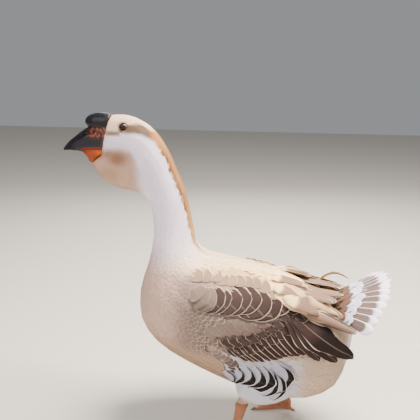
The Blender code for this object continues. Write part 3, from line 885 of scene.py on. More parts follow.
@dataclass
class Coat:
    """The small feathers of head, neck and body."""

    outer: Surface              # the form that the feathers reach to
    flesh: Surface
    marks: Markings
    large: list[VaneSheet]      # the large feathers, which small ones give way to
    rng: np.random.Generator
    stretches: tuple[Stretch, ...] = (
        Stretch("coat_head", -1, 0.135, 4, 3, 0.80), Stretch("coat_neck", 0.135, 0.33, 6, 4, 0.70),
        Stretch("coat_breast", 0.33, 0.52, 6, 4, 0.80), Stretch("coat_body", 0.52, 9, 6, 4, 0.84),
    )
    ways: tuple[float, ...] = (0.00, 0.05, 0.12, 0.20, 0.32, 0.40, 0.50, 0.66, 0.80, 0.95)
    lengths: tuple[float, ...] = (
        0.0052, 0.0060, 0.0088, 0.0120, 0.0150, 0.0190, 0.0230, 0.0250, 0.0250, 0.0240)
    band_from: float = 0.55     # share of the length where the darker band starts
    exposure: float = 0.32      # distance between roots as a share of the length
    tries: int = 320000
    give_way: float = 0.0062    # how near a large feather's middle drops a small one
    reach: float = 0.012        # how far from flesh a small feather may be rooted on the wing
    eye_room: float = 1.12      # size of the bare oval by the eye, over that of EYE_HALF
    hock: float = 0.1045        # height at which the legs' feathers end

    def __post_init__(self) -> None:
        """Sorts the large feathers in space."""
        self.hidden = tree_of(np.concatenate([sheet.spots() for sheet in self.large]))

    def length_at(self, points: Array) -> Array:
        """Works out how long the feathers are.

        Args:
            points: their roots.

        Returns:
            A length for each root.
        """
        out = np.interp(self.marks.spine.way(points), self.ways, self.lengths)
        x, _, z = folded(points)
        return out * (1 - 0.35 * smooth(0.215, 0.150, z) * smooth(0.050, 0.070, x))

    def scattered(self) -> Array:
        """Spreads roots over the form, as far apart as their feathers' length asks.

        Returns:
            The roots.
        """
        corners = np.array([self.outer.places[list(face)[:3]] for face in self.outer.faces])
        fourth = np.array([self.outer.places[face[-1]] for face in self.outer.faces])
        middles = (corners.sum(axis=1) + fourth) / 4
        spacing = self.length_at(middles) * self.exposure
        edges = corners[:, 1] - corners[:, 0], fourth - corners[:, 0]
        areas = np.linalg.norm(np.cross(*edges), axis=1)
        chance = areas / spacing ** 2
        picked = self.rng.choice(len(middles), self.tries, p=chance / chance.sum())
        u, v = self.rng.random((2, self.tries, 1))
        points = corners[picked, 0] + u * edges[0][picked] + v * edges[1][picked]
        apart = self.length_at(points) * self.exposure
        tree = tree_of(points)
        alive = np.ones(len(points), bool)
        kept = []
        for i in range(len(points)):
            if alive[i]:
                for _, near, _ in tree.find_range(points[i], apart[i]):
                    alive[near] = False
                kept.append(i)
        return points[kept]

    def covered(self, points: Array) -> Array:
        """Which places lie under large feathers."""
        found = [self.hidden.find(point)[2] for point in points.tolist()]
        return np.array(found) < self.give_way

    def bare(self, points: Array, lies: Array, lengths: Array) -> Array:
        """Finds roots without a small feather: by eyes, bill, hocks and large feathers.

        Args:
            points: the roots.
            lies, lengths: how their feathers lie, and how long they are.

        Returns:
            Whether each root is bare.
        """
        x, y, z = folded(points)
        out = (y < horn_base(z) + 0.0008) & (z > 0.634)
        for reach in (0.0, 0.5, 1.0):
            tips = points + lies * (lengths * reach)[:, None]
            gap = np.hypot((tips[:, 1] - EYE_CENTRE[1]) / EYE_HALF[0],
                           (tips[:, 2] - EYE_CENTRE[2]) / EYE_HALF[1])
            out |= (gap < self.eye_room) & (x > 0.010)
        for reach in (0.45, 0.95):
            out |= self.covered(points + lies * (lengths * reach)[:, None])
        gap = np.linalg.norm(self.flesh.snap(points)[0] - points, axis=1)
        return out | (z < self.hock) | ((gap > self.reach) & (y > 0.12))

    def sheets(self) -> list[VaneSheet]:
        """Lays the coat.

        Returns:
            Its stretches, from the face to the tail.
        """
        points = self.scattered()
        lies = self.marks.spine.lie(points)
        lengths = self.length_at(points)
        keep = ~self.bare(points, lies, lengths)
        points, lies, lengths = points[keep], lies[keep], lengths[keep]
        lies = unit(lies + self.rng.normal(0, 0.05, lies.shape))
        lengths = lengths * self.rng.uniform(0.90, 1.10, len(lengths))
        way = self.marks.spine.way(points)
        base = self.marks.colours(points + lies * (0.6 * lengths)[:, None])
        base = base * self.rng.uniform(0.965, 1.030, (len(base), 1))
        band, rim = self.edging(points, base)
        sheets = []
        for stretch in self.stretches:
            here = (way >= stretch.start) & (way < stretch.end)
            template = Template.made(stretch.columns, stretch.rows, is_thick=False)
            sheet = VaneSheet(stretch.name, template, self.rng)
            vanes = Vanes(points[here], lies[here], lengths[here], lengths[here] * stretch.slim,
                          base[here], band[here], np.full(here.sum(), self.band_from), rim[here])
            scale = float(np.median(lengths[here]))
            lay = Lay(sunk=0.060 * scale, proud=0.014 * scale, camber=0.004 * scale, ragged=0.035,
                      tip_round=0.42, root_width=0.50)
            sheet.lay(vanes, lay, self.outer)
            sheets.append(sheet)
        return sheets

    def edging(self, points: Array, base: Array) -> tuple[Array, Array]:
        """Works out the darker band and the pale rim of some regions' feathers.

        Args:
            points: the roots.
            base: the colour of each feather.

        Returns:
            Each feather's band colour and the strength of its rim.
        """
        x, y, z = folded(points)
        wing = smooth(0.236, 0.250, z) * smooth(0.385, 0.360, z) * smooth(0.075, 0.100, x)
        wing *= smooth(-0.060, -0.010, y) * smooth(0.26, 0.20, y)
        side = smooth(-0.095, -0.040, y) * smooth(0.030, 0.000, y) * smooth(0.225, 0.260, z)
        side *= smooth(0.380, 0.350, z) * smooth(0.065, 0.100, x)
        back = smooth(0.340, 0.375, z) * smooth(-0.060, 0.000, y)
        band = mixed(base, Tone.COVERT.value, side * 0.45)
        band = mixed(band, np.array(Tone.MANTLE_SHADE.value) * 0.9, back * 0.22 * (1 - wing))
        band = mixed(band, Tone.COVERT.value, wing * 0.50)
        rim = 0.05 + 0.10 * wing + 0.34 * side + 0.12 * back
        return band * 0.985, np.clip(rim, 0, 0.75)


# ---- large feathers


@dataclass(frozen=True)
class Row:
    """A row of large feathers, told by where its tips lie in the side view."""

    tips: tuple[Pair, ...]      # (y, z) points that the tips follow
    count: int
    lengths: Pair               # at the row's start and end
    widths: Pair
    aims: Pair                  # degrees below straight back, at start and end
    base: Tone
    band: Tone
    band_from: float = 0.40
    rim: float = 0.85
    sunk: float = 0.0030
    proud: float = 0.0015
    roll: float = 0.0
    tip_round: float = 0.32
    tip_width: float = 0.86
    end_base: Tone | None = None
    end_band: Tone | None = None


@dataclass(frozen=True)
class Plume:
    """A free feather that bends through three points, on the bird's left."""

    root: Triple
    middle: Triple
    tip: Triple
    width: float
    base: Tone
    band: Tone
    facing: Triple = (0.45, 0.0, 0.90)
    rim: float = 0.85
    band_from: float = 0.45
    camber: float = 0.0035
    tip_round: float = 0.38
    tip_width: float = 0.78
    ruffles: int = 0            # smaller feathers lying over it, each a bit astray


def cream_plume(root: Triple, middle: Triple, tip: Triple, width: float, facing: Triple,
                ruffles: int = 5, band: Tone = Tone.MANTLE_SHADE) -> Plume:
    """A broad plume of the mantle's colours that others lie over."""
    return Plume(root, middle, tip, width, Tone.MANTLE, band, facing=facing, rim=0.7,
                 camber=0.0012, tip_round=0.42, tip_width=0.86, ruffles=ruffles)


MANTLE = (
    Row(((-0.020, 0.396), (0.030, 0.394), (0.080, 0.387), (0.118, 0.374)), 9, (0.042, 0.052),
        (0.036, 0.044), (12, 20), Tone.MANTLE, Tone.MANTLE_SHADE, rim=0.30, sunk=0.0016,
        proud=0.0006, tip_round=0.48),
    Row(((-0.030, 0.386), (0.010, 0.384), (0.056, 0.383), (0.088, 0.377), (0.122, 0.362),
         (0.154, 0.353), (0.178, 0.340)), 13, (0.044, 0.060), (0.034, 0.046), (20, 34),
        Tone.MANTLE_SHADE, Tone.BREAST_LOW, rim=0.55, sunk=0.0016, proud=0.0018, roll=0.0015,
        tip_round=0.48, end_base=Tone.MANTLE, end_band=Tone.TAN_TERTIAL),
)
SCAPULARS = (
    Row(((-0.026, 0.356), (-0.012, 0.349), (0.002, 0.345)), 3, (0.036, 0.060), (0.048, 0.060),
        (30, 34), Tone.LESSER, Tone.LESSER, rim=0.40, sunk=0.0008, proud=0.0036,
        roll=0.0010, tip_round=0.40, tip_width=0.92, end_band=Tone.COVERT),
    Row(((0.016, 0.343), (0.034, 0.339), (0.058, 0.336), (0.084, 0.337), (0.100, 0.328),
         (0.118, 0.323), (0.142, 0.326)), 8, (0.066, 0.108), (0.066, 0.094),
        (36, 50), Tone.SCAPULAR, Tone.SCAPULAR, rim=0.75, sunk=0.0022, proud=0.0026,
        roll=0.0010, tip_round=0.33, tip_width=0.94, end_base=Tone.QUILL,
        end_band=Tone.QUILL),
)
COVERTS = (
    Row(((0.062, 0.250), (0.098, 0.263), (0.133, 0.282), (0.162, 0.297), (0.191, 0.321)), 10,
        (0.048, 0.050), (0.028, 0.034), (42, 50), Tone.COVERT, Tone.QUILL, sunk=0.0016,
        proud=0.0012, roll=-0.0026, rim=0.50, tip_round=0.36),
    Row(((0.050, 0.272), (0.091, 0.281), (0.118, 0.295), (0.147, 0.313), (0.174, 0.337)), 9,
        (0.044, 0.038), (0.032, 0.036), (40, 48), Tone.COVERT, Tone.SCAPULAR, sunk=0.0014,
        proud=0.0018, roll=-0.0022, rim=0.60, tip_round=0.38, end_band=Tone.QUILL),
    Row(((0.012, 0.288), (0.051, 0.299), (0.095, 0.302), (0.121, 0.314), (0.145, 0.338)), 9,
        (0.040, 0.036), (0.032, 0.036), (36, 46), Tone.LESSER, Tone.LESSER, sunk=0.0014,
        proud=0.0016, roll=-0.0016, rim=0.40, tip_round=0.40, end_base=Tone.COVERT,
        end_band=Tone.SCAPULAR),
)
SECONDARIES = (
    Row(((0.082, 0.240), (0.132, 0.243), (0.157, 0.254), (0.196, 0.255)), 11, (0.062, 0.100),
        (0.021, 0.027), (38, 51), Tone.QUILL, Tone.QUILL, sunk=0.0008, proud=0.0004,
        roll=-0.0044, rim=0.95, tip_round=0.20),
    Row(((0.222, 0.243), (0.256, 0.238), (0.289, 0.240)), 3, (0.112, 0.158), (0.032, 0.048),
        (50, 37), Tone.QUILL, Tone.QUILL, sunk=-0.0012, proud=0.0044, roll=-0.0046, rim=0.95,
        tip_round=0.36, tip_width=0.70, end_band=Tone.QUILL_DARK),
)
FLANK_STRIPE = (
    Row(((0.010, 0.244), (0.022, 0.236), (0.034, 0.228), (0.047, 0.218), (0.058, 0.200)), 8,
        (0.026, 0.040), (0.026, 0.038), (50, 44), Tone.BREAST_LOW, Tone.LESSER,
        band_from=0.66, rim=0.5, sunk=0.0012, proud=0.0010, end_base=Tone.FLANK_WHITE_SHADED,
        end_band=Tone.SCAPULAR),
)
FLANK = (
    Row(((0.070, 0.222), (0.103, 0.223), (0.133, 0.228), (0.158, 0.216), (0.172, 0.206)), 7,
        (0.040, 0.052), (0.038, 0.044), (34, 14), Tone.FLANK_WHITE_SHADED, Tone.FLANK_LILAC_SHADED, rim=0.8,
        sunk=0.0014, proud=0.0014, roll=0.0012, tip_round=0.44),
    Row(((0.052, 0.172), (0.078, 0.180), (0.100, 0.178), (0.119, 0.180), (0.141, 0.184),
         (0.157, 0.168), (0.172, 0.186)), 8, (0.056, 0.074), (0.050, 0.070), (38, 12),
        Tone.FLANK_LILAC_SHADED, Tone.FLANK_BAR, band_from=0.79, rim=1.0, sunk=0.0020, proud=0.0040,
        roll=0.0016, tip_round=0.50, tip_width=0.92),
)
RUMP_PLUMES = (
    Plume((0.094, 0.160, 0.338), (0.100, 0.228, 0.329), (0.089, 0.294, 0.297), 0.030,
          Tone.TAN_TERTIAL, Tone.SCAPULAR_PALE, facing=(0.85, 0.0, 0.50), ruffles=1),
    Plume((0.078, 0.150, 0.358), (0.076, 0.212, 0.347), (0.062, 0.268, 0.314), 0.036,
          Tone.TERTIAL_PINK, Tone.TAN_TERTIAL, facing=(0.70, 0.1, 0.70), ruffles=2),
    Plume((0.058, 0.140, 0.368), (0.058, 0.200, 0.362), (0.053, 0.250, 0.350), 0.034,
          Tone.TAN_TERTIAL, Tone.TERTIAL_PINK, facing=(0.50, 0.1, 0.84), ruffles=2),
    Plume((0.036, 0.140, 0.370), (0.036, 0.205, 0.364), (0.029, 0.262, 0.356), 0.034,
          Tone.TERTIAL_PINK, Tone.TERTIAL_PINK, facing=(0.15, 0.0, 0.98), ruffles=2),
    Plume((0.012, 0.120, 0.382), (0.013, 0.185, 0.362), (0.015, 0.248, 0.342), 0.038,
          Tone.TAN_TERTIAL, Tone.TAN_TERTIAL, facing=(0.05, 0.0, 1.00), ruffles=1),
    cream_plume((0.084, 0.122, 0.364), (0.092, 0.172, 0.353), (0.091, 0.214, 0.333), 0.034,
                (0.70, 0.0, 0.70)),
    cream_plume((0.062, 0.104, 0.380), (0.070, 0.150, 0.372), (0.072, 0.196, 0.356), 0.036,
                (0.50, 0.0, 0.86)),
    cream_plume((0.036, 0.096, 0.388), (0.040, 0.142, 0.381), (0.040, 0.190, 0.370), 0.036,
                (0.20, 0.0, 0.97)),
    cream_plume((0.011, 0.090, 0.394), (0.012, 0.136, 0.382), (0.011, 0.180, 0.366), 0.036,
                (0.05, 0.0, 1.0), ruffles=4, band=Tone.MANTLE),
)
ARCHED_PLUME = Plume((0.052, 0.206, 0.358), (0.044, 0.240, 0.385), (0.030, 0.276, 0.374), 0.016,
                     Tone.MANTLE, Tone.TAN_TERTIAL, facing=(0.55, 0.0, 0.80), rim=0.6)
FAR_DROP = 0.0030           # how much lower the plumes of the right side are held


def along_line(points: tuple[Pair, ...], shares: Array) -> Array:
    """Places points on a line.

    Args:
        points: the (y, z) points of the line.
        shares: of its length, one for each new point.

    Returns:
        The new points.
    """
    line = np.array(points)
    steps = np.linalg.norm(np.diff(line, axis=0), axis=1)
    at = np.concatenate([[0], np.cumsum(steps)]) / steps.sum()
    return np.column_stack([np.interp(shares, at, line[:, i]) for i in (0, 1)])


class SideField:
    """How far out the wing side of the bird reaches, told over its side view."""

    step = 0.004
    low = np.array((-0.16, 0.06))
    high = np.array((0.36, 0.46))
    inner = 0.06                # nearer to the bird's middle than this no wing is met

    def __init__(self, side: Side, rounds: int) -> None:
        """Casts rays on the side and fills in what they miss.

        Args:
            side: what the rays meet.
            rounds: how often the field is smoothed.
        """
        self.shape = tuple(np.round((self.high - self.low) / self.step).astype(int) + 1)
        y, z = np.meshgrid(*(np.arange(n) for n in self.shape), indexing="ij")
        places, hit = side.cast(y.ravel() * self.step + self.low[0],
                                z.ravel() * self.step + self.low[1])
        seen = hit & (places[:, 0] > self.inner)
        self.values = np.where(seen, places[:, 0], 0).reshape(self.shape)
        self.fill(seen.reshape(self.shape))
        for _ in range(rounds):
            self.values = self.neighbours(self.values)

    @staticmethod
    def neighbours(grid: Array) -> Array:
        """The mean of each cell and its four neighbours."""
        wide = np.pad(grid, 1, mode="edge")
        return (wide[1:-1, 1:-1] + wide[:-2, 1:-1] + wide[2:, 1:-1] + wide[1:-1, :-2]
                + wide[1:-1, 2:]) / 5

    def fill(self, known: Array) -> None:
        """Spreads the known cells into the unknown ones.

        Args:
            known: which cells have a value.
        """
        known = known.copy()
        while not known.all():
            total = self.neighbours(np.where(known, self.values, 0)) * 5
            weight = self.neighbours(known.astype(float)) * 5
            fresh = ~known & (weight > 0.5)
            self.values[fresh] = total[fresh] / weight[fresh]
            known |= fresh

    def sample(self, grid: Array, y: Array, z: Array) -> Array:
        """Reads a grid between its cells.

        Args:
            grid: the grid.
            y, z: places in the side view.

        Returns:
            The values.
        """
        u = np.clip((y - self.low[0]) / self.step, 0, self.shape[0] - 1.001)
        v = np.clip((z - self.low[1]) / self.step, 0, self.shape[1] - 1.001)
        i, j = u.astype(int), v.astype(int)
        a, b = u - i, v - j
        return ((1 - a) * (1 - b) * grid[i, j] + a * (1 - b) * grid[i + 1, j]
                + (1 - a) * b * grid[i, j + 1] + a * b * grid[i + 1, j + 1])

    def laid(self, y: Array, z: Array, height: Array) -> Array:
        """Finds places over the side.

        Args:
            y, z: places in the side view.
            height: how far out from the side they lie.

        Returns:
            The places.
        """
        slope_y, slope_z = np.gradient(self.values, self.step)
        out = np.stack([np.ones_like(y), -self.sample(slope_y, y, z),
                        -self.sample(slope_z, y, z)], axis=-1)
        place = np.stack([self.sample(self.values, y, z), y, z], axis=-1)
        return place + unit(out) * height[..., None]


class Plumes:
    """Rows of larger feathers on both sides of the bird."""

    def __init__(self, rng: np.random.Generator) -> None:
        """Keeps the source of small differences between feathers."""
        self.rng = rng
        self.template = Template.made(columns=10, rows=10, is_thick=True)

    def vanes(self, row: Row) -> tuple[Vanes, Array]:
        """Makes the feathers of a row in the side view.

        Args:
            row: the row.

        Returns:
            The feathers and their aims, as (y, z).
        """
        shares = np.linspace(0, 1, row.count)
        tips = along_line(row.tips, shares) + self.rng.normal(0, 0.0008, (row.count, 2))

        def between(pair: Pair, wobble: float) -> Array:
            """Values from the start of the row to its end, each a little off."""
            spread = self.rng.uniform(1 - wobble, 1 + wobble, row.count)
            return (pair[0] + (pair[1] - pair[0]) * shares) * spread

        lengths, widths = between(row.lengths, 0.03), between(row.widths, 0.04)
        aims = np.radians(between(row.aims, 0.02))
        heads = np.column_stack([np.cos(aims), -np.sin(aims)])
        roots = tips - heads * lengths[:, None]
        shade = self.rng.uniform(0.93, 1.07, (row.count, 1))
        base, band = (
            mixed(np.tile(first.value, (row.count, 1)), (last or first).value, shares) * shade
            for first, last in ((row.base, row.end_base), (row.band, row.end_band)))
        vanes = Vanes(np.column_stack([np.zeros(row.count), roots]), np.zeros((row.count, 3)),
                      lengths, widths, base, band,
                      np.full(row.count, row.band_from), np.full(row.count, row.rim))
        return vanes, heads

    def ruffled(self, plume: Plume, drop: float) -> list[Plume]:
        """Makes a plume and the smaller ones that lie over it.

        Args:
            plume: the lowest one.
            drop: how much lower than told they are held.

        Returns:
            The plumes.
        """
        out = []
        corners = np.array((plume.root, plume.middle, plume.tip)) - (0, 0, drop)
        for layer in range(plume.ruffles + 1):
            ends, band = corners.copy(), plume.band
            if layer:
                ends[0] += 0.45 * (ends[1] - ends[0])
                back = self.rng.uniform(-0.30, 0.05) * (ends[2] - ends[1])
                astray = self.rng.normal(0, 1, 3) * (0.006, 0.004, 0.0008) + back
                ends += astray * np.array(((0.5,), (0.8,), (1.0,))) + (0, 0, 0.0011 * layer)
                ends[0, 2] -= 0.0042
                band = (plume.band, Tone.TAN_TERTIAL, Tone.MANTLE_SHADE)[self.rng.integers(3)]
            width = plume.width * (1 if layer == 0 else self.rng.uniform(0.55, 0.85))
            root, middle, tip = (tuple(end) for end in ends)
            out.append(replace(plume, root=root, middle=middle, tip=tip, width=width, band=band))
        return out

    @staticmethod
    def lay_of(row: Row) -> Lay:
        """How a row's feathers lie."""
        return Lay(sunk=row.sunk, proud=row.proud, roll=row.roll, tip_round=row.tip_round,
                   tip_width=row.tip_width, root_width=0.55, ragged=0.012)

    def beside(self, sheet: VaneSheet, row: Row, wing: SideField, sign: int) -> None:
        """Lays a row of wing feathers over the side view's field.

        Args:
            sheet: takes the feathers.
            row: the row.
            wing: the field.
            sign: 1 for left and -1 for right.
        """
        vanes, heads = self.vanes(row)
        across, along, height = sheet.outline(vanes, self.lay_of(row))
        aside = np.column_stack([-heads[:, 1], heads[:, 0]])
        flat = (vanes.roots[:, None, 1:] + heads[:, None] * along[:, :, None]
                + aside[:, None] * across[:, :, None])
        points = wing.laid(flat[:, :, 0], flat[:, :, 1], height)
        vanes.roots = points[:, 0]
        sheet.keep(vanes, points, sign)

    def over(self, sheet: VaneSheet, row: Row, side: Side) -> None:
        """Lays a row of body feathers with its tips where the row says.

        Args:
            sheet: takes the feathers.
            row: the row.
            side: the side of the form that they lie on.
        """
        vanes, heads = self.vanes(row)
        tips = vanes.roots[:, 1:] + heads * vanes.lengths[:, None]
        ends, _ = side.cast(tips[:, 0], tips[:, 1])
        _, normals, _ = side.snap(ends)
        out = -np.sum(normals[:, 1:] * heads, axis=1) / np.maximum(normals[:, 0], 0.35)
        leads = unit(np.column_stack([out, heads]))
        roots, _, _ = side.snap(ends - leads * vanes.lengths[:, None])
        vanes.lies = ends - roots
        vanes.lengths = np.linalg.norm(vanes.lies, axis=1) * 1.01
        vanes.roots = roots
        sheet.lay(vanes, self.lay_of(row), side)


@dataclass
class Tail:
    """The spread tail and the coverts over and under its base."""

    root: Triple = (0.0, 0.225, 0.3235)
    length: float = 0.149
    spread: float = math.radians(53)
    lift: float = math.radians(24)
    roll: float = math.radians(10)
    arch: float = 0.037
    root_half: float = 0.022
    feathers: int = 14
    fanned: float = 0.93        # share of the fan that the quills' shafts take up
    quill_width: float = 0.205  # as a share of half the fan, like all that lies across it
    pale_from: float = 0.86     # share of the length where the white tip starts
    step: float = 0.0020        # height of the middle pair over the outermost
    slope: float = 0.0110       # fall of each quill outwards, across half the fan
    covert_size: Pair = (0.40, 0.42)    # length and width, as shares of the fan
    layer: float = 0.0017       # height of one row of coverts over the next
    dark_before: float = 0.46   # how far the dark coverts over the rump reach
    over: tuple[tuple[float, int], ...] = ((0.61, 9), (0.52, 8), (0.44, 8), (0.35, 7), (0.25, 6))
    under: tuple[tuple[float, int], ...] = ((0.74, 9), (0.58, 8), (0.44, 8), (0.30, 7), (0.16, 6))

    def placed(self, along: Array, across: Array, height: Array) -> Array:
        """Places points on the fan.

        Args:
            along: shares of its length.
            across: shares of half its spread.
            height: heights over it.

        Returns:
            The places.
        """
        angle = across * self.spread
        out = self.length * along * (1 - 0.12 * across ** 2)
        drop = self.arch * across ** 2 * (0.35 + 0.65 * along)
        flat = np.stack([self.root_half * across + out * np.sin(angle), out * np.cos(angle),
                         height - drop], axis=-1)
        turn = Matrix.Rotation(self.roll, 3, "Y") @ Matrix.Rotation(self.lift, 3, "X")
        return flat @ np.array(turn).T + np.array(self.root)

    def build(self, sheet: VaneSheet) -> None:
        """Makes the quills of the fan, the middle pair on top.

        Args:
            sheet: takes the feathers.
        """
        share = (np.arange(self.feathers) + 0.5) / self.feathers * 2 - 1
        share = share[np.argsort(-np.abs(share))] * self.fanned
        count = self.feathers
        shade = sheet.rng.uniform(0.90, 1.10, (count, 1))
        grey = np.array(Tone.TAIL_GREY.value) * shade
        vanes = Vanes(np.zeros((count, 3)), np.zeros((count, 3)), np.ones(count),
                      np.full(count, self.quill_width), grey,
                      np.tile(Tone.WHITE.value, (count, 1)), np.full(count, self.pale_from),
                      np.full(count, 0.75))
        lay = Lay(sunk=0.0, proud=0.0, camber=0.0008, tip_round=0.13, tip_width=0.86,
                  root_width=0.9, ragged=0.010, thickness=0.0006)
        across, along, height = sheet.outline(vanes, lay)
        outward = np.sign(share)[:, None]
        stack = self.step * (1 - np.abs(share))[:, None] - self.slope * outward * across
        along = 0.02 + along * (0.98 + 0.02 * sheet.rng.uniform(-1, 1, (count, 1)))
        points = self.placed(along, share[:, None] + across, height + stack + 0.0012)
        vanes.roots = points[:, 0]
        sheet.keep(vanes, points, turned=False)

    def coverts(self, sheet: VaneSheet) -> None:
        """Lays feathers in rows over and under the base of the fan.

        Args:
            sheet: takes the feathers.
        """
        length, width = self.covert_size
        lay = Lay(sunk=0.0018, camber=0.0006, tip_round=0.38, root_width=0.8)
        for face, start, rows in ((1, 0.0036, self.over), (-1, 0.0030, self.under)):
            for layer, (reach, count) in enumerate(rows):
                share = np.linspace(-0.86, 0.86, count) + sheet.rng.normal(0, 0.02, count)
                is_dark = face > 0 and reach < self.dark_before
                shade = Tone.RUMP_DARK if is_dark else Tone.TAIL_WHITE
                white = np.array(shade.value) * sheet.rng.uniform(0.97, 1.02, (count, 1))
                vanes = Vanes(np.zeros((count, 3)), np.zeros((count, 3)), np.full(count, length),
                              np.full(count, width), white, white * 0.93, np.full(count, 0.5),
                              np.full(count, 0.0 if is_dark else 0.3))
                across, along, height = sheet.outline(vanes, lay)
                lifted = start + self.layer * layer + 0.0008 * sheet.rng.random((count, 1))
                reached = reach + 0.03 * sheet.rng.uniform(-1, 1, (count, 1))
                points = self.placed(reached - length + along, share[:, None] + across,
                                     face * (height + lifted))
                vanes.roots = points[:, 0]
                sheet.keep(vanes, points, turned=face < 0)


# ---- materials


class Nodes:
    """A short way to place and join shader nodes in one tree."""

    def __init__(self, tree: NodeTree) -> None:
        """Starts on a tree."""
        self.tree = tree

    def put(self, node: Node, given: dict[str | int, object]) -> None:
        """Gives a node's inputs values, or joins outputs to them.

        Args:
            node: the node.
            given: a value or an output for some inputs, by name or number.
        """
        for key, value in given.items():
            target = node.inputs[key]
            if isinstance(value, NodeSocket):
                self.tree.links.new(value, target)
            elif target.type == "RGBA" and len(value) == 3:
                target.default_value = (*value, 1.0)
            else:
                target.default_value = value

    def add(self, kind: str, given: dict[str | int, object] | None = None,
            **settings: object) -> Node:
        """Places a node.

        Args:
            kind: its type.
            given: values or outputs for its inputs, by name or number.
            settings: its other settings.

        Returns:
            The node.
        """
        node = self.tree.nodes.new(kind)
        for name, value in settings.items():
            setattr(node, name, value)
        self.put(node, given or {})
        return node

    def math(self, operation: str, *values: object) -> NodeSocket:
        """The result of a sum on numbers."""
        return self.add("ShaderNodeMath", dict(enumerate(values)), operation=operation).outputs[0]

    def times(self, first: object, second: object) -> NodeSocket:
        """Two numbers multiplied."""
        return self.math("MULTIPLY", first, second)

    def ramp(self, value: object, low: object, high: object) -> NodeSocket:
        """A smooth ramp from 0 at low to 1 at high."""
        return self.add("ShaderNodeMapRange", {"Value": value, "From Min": low, "From Max": high},
                        interpolation_type="SMOOTHSTEP").outputs["Result"]

    def mix(self, share: object, first: object, second: object, blend: str = "MIX") -> NodeSocket:
        """A colour between two others."""
        return self.add("ShaderNodeMix", {0: share, 6: first, 7: second}, data_type="RGBA",
                        blend_type=blend).outputs[2]

    def grey(self, value: object) -> NodeSocket:
        """A number as a shade of grey."""
        return self.add("ShaderNodeCombineColor", {0: value, 1: value, 2: value}).outputs[0]

    def noise(self, vector: object, scale: float) -> NodeSocket:
        """Smooth noise from 0 to 1."""
        return self.add("ShaderNodeTexNoise",
                        {"Vector": vector, "Scale": scale, "Detail": 3.0}).outputs["Fac"]


def new_material(name: str) -> tuple[Material, Nodes, Node]:
    """Starts a material.

    Args:
        name: its name.

    Returns:
        The material, its nodes and the shader at their end.
    """
    made = bpy.data.materials.new(name)
    made.use_nodes = True
    return made, Nodes(made.node_tree), made.node_tree.nodes["Principled BSDF"]


def vane_group() -> NodeTree:
    """Makes the group that draws one feather: band, rim, shaft and barbs.

    Returns:
        The group.
    """
    tree = bpy.data.node_groups.new("vane_markings", "ShaderNodeTree")
    for name in ("Across", "Along", "Base", "Band", "Band From", "Band Blur", "Upper Fade", "Rim",
                 "Rim Strength", "Lower Rim", "Upper Rim", "Tip Rim", "Barbs", "Shaft", "Cloud"):
        kind = "NodeSocketColor" if name in ("Base", "Band", "Rim") else "NodeSocketFloat"
        tree.interface.new_socket(name, in_out="INPUT", socket_type=kind)
    tree.interface.new_socket("Colour", in_out="OUTPUT", socket_type="NodeSocketColor")
    tree.interface.new_socket("Height", in_out="OUTPUT", socket_type="NodeSocketFloat")
    n = Nodes(tree)
    given = n.add("NodeGroupInput").outputs
    along = given["Along"]
    across = n.math("SUBTRACT", n.times(given["Across"], 2.0), 1.0)
    side = n.math("ABSOLUTE", across)
    low = n.math("SUBTRACT", given["Band From"], given["Band Blur"])
    high = n.math("ADD", given["Band From"], given["Band Blur"])
    kept = n.math("SUBTRACT", 1.0, n.times(given["Upper Fade"], n.ramp(across, -0.5, 0.9)))
    colour = n.mix(n.times(n.ramp(along, low, high), kept), given["Base"], given["Band"])
    shade = n.math("MULTIPLY_ADD", given["Cloud"], 0.20, 0.90)
    colour = n.mix(1.0, colour, n.grey(shade), "MULTIPLY")
    beyond_root = n.ramp(along, 0.15, 0.45)
    rim = 0.0
    for place, width, share in ((n.times(across, -1.0), "Lower Rim", beyond_root),
                                (across, "Upper Rim", beyond_root), (along, "Tip Rim", 1.0)):
        inner = n.math("SUBTRACT", 1.0, given[width])
        line = n.ramp(place, inner, n.math("MULTIPLY_ADD", given[width], 0.5, inner))
        rim = n.math("MAXIMUM", rim, n.times(line, share))
    colour = n.mix(n.times(rim, given["Rim Strength"]), colour, given["Rim"])
    shaft = n.times(n.ramp(side, 0.06, 0.02), given["Shaft"])
    colour = n.mix(n.times(shaft, 0.40), colour, Tone.EDGE.value)
    slant = n.math("SUBTRACT", along, n.times(side, 0.22))
    wave = n.math("SINE", n.times(n.times(slant, given["Barbs"]), math.tau))
    height = n.math("MULTIPLY_ADD", shaft, 2.0, n.times(wave, 0.5))
    n.add("NodeGroupOutput", {"Colour": colour, "Height": height})
    return tree


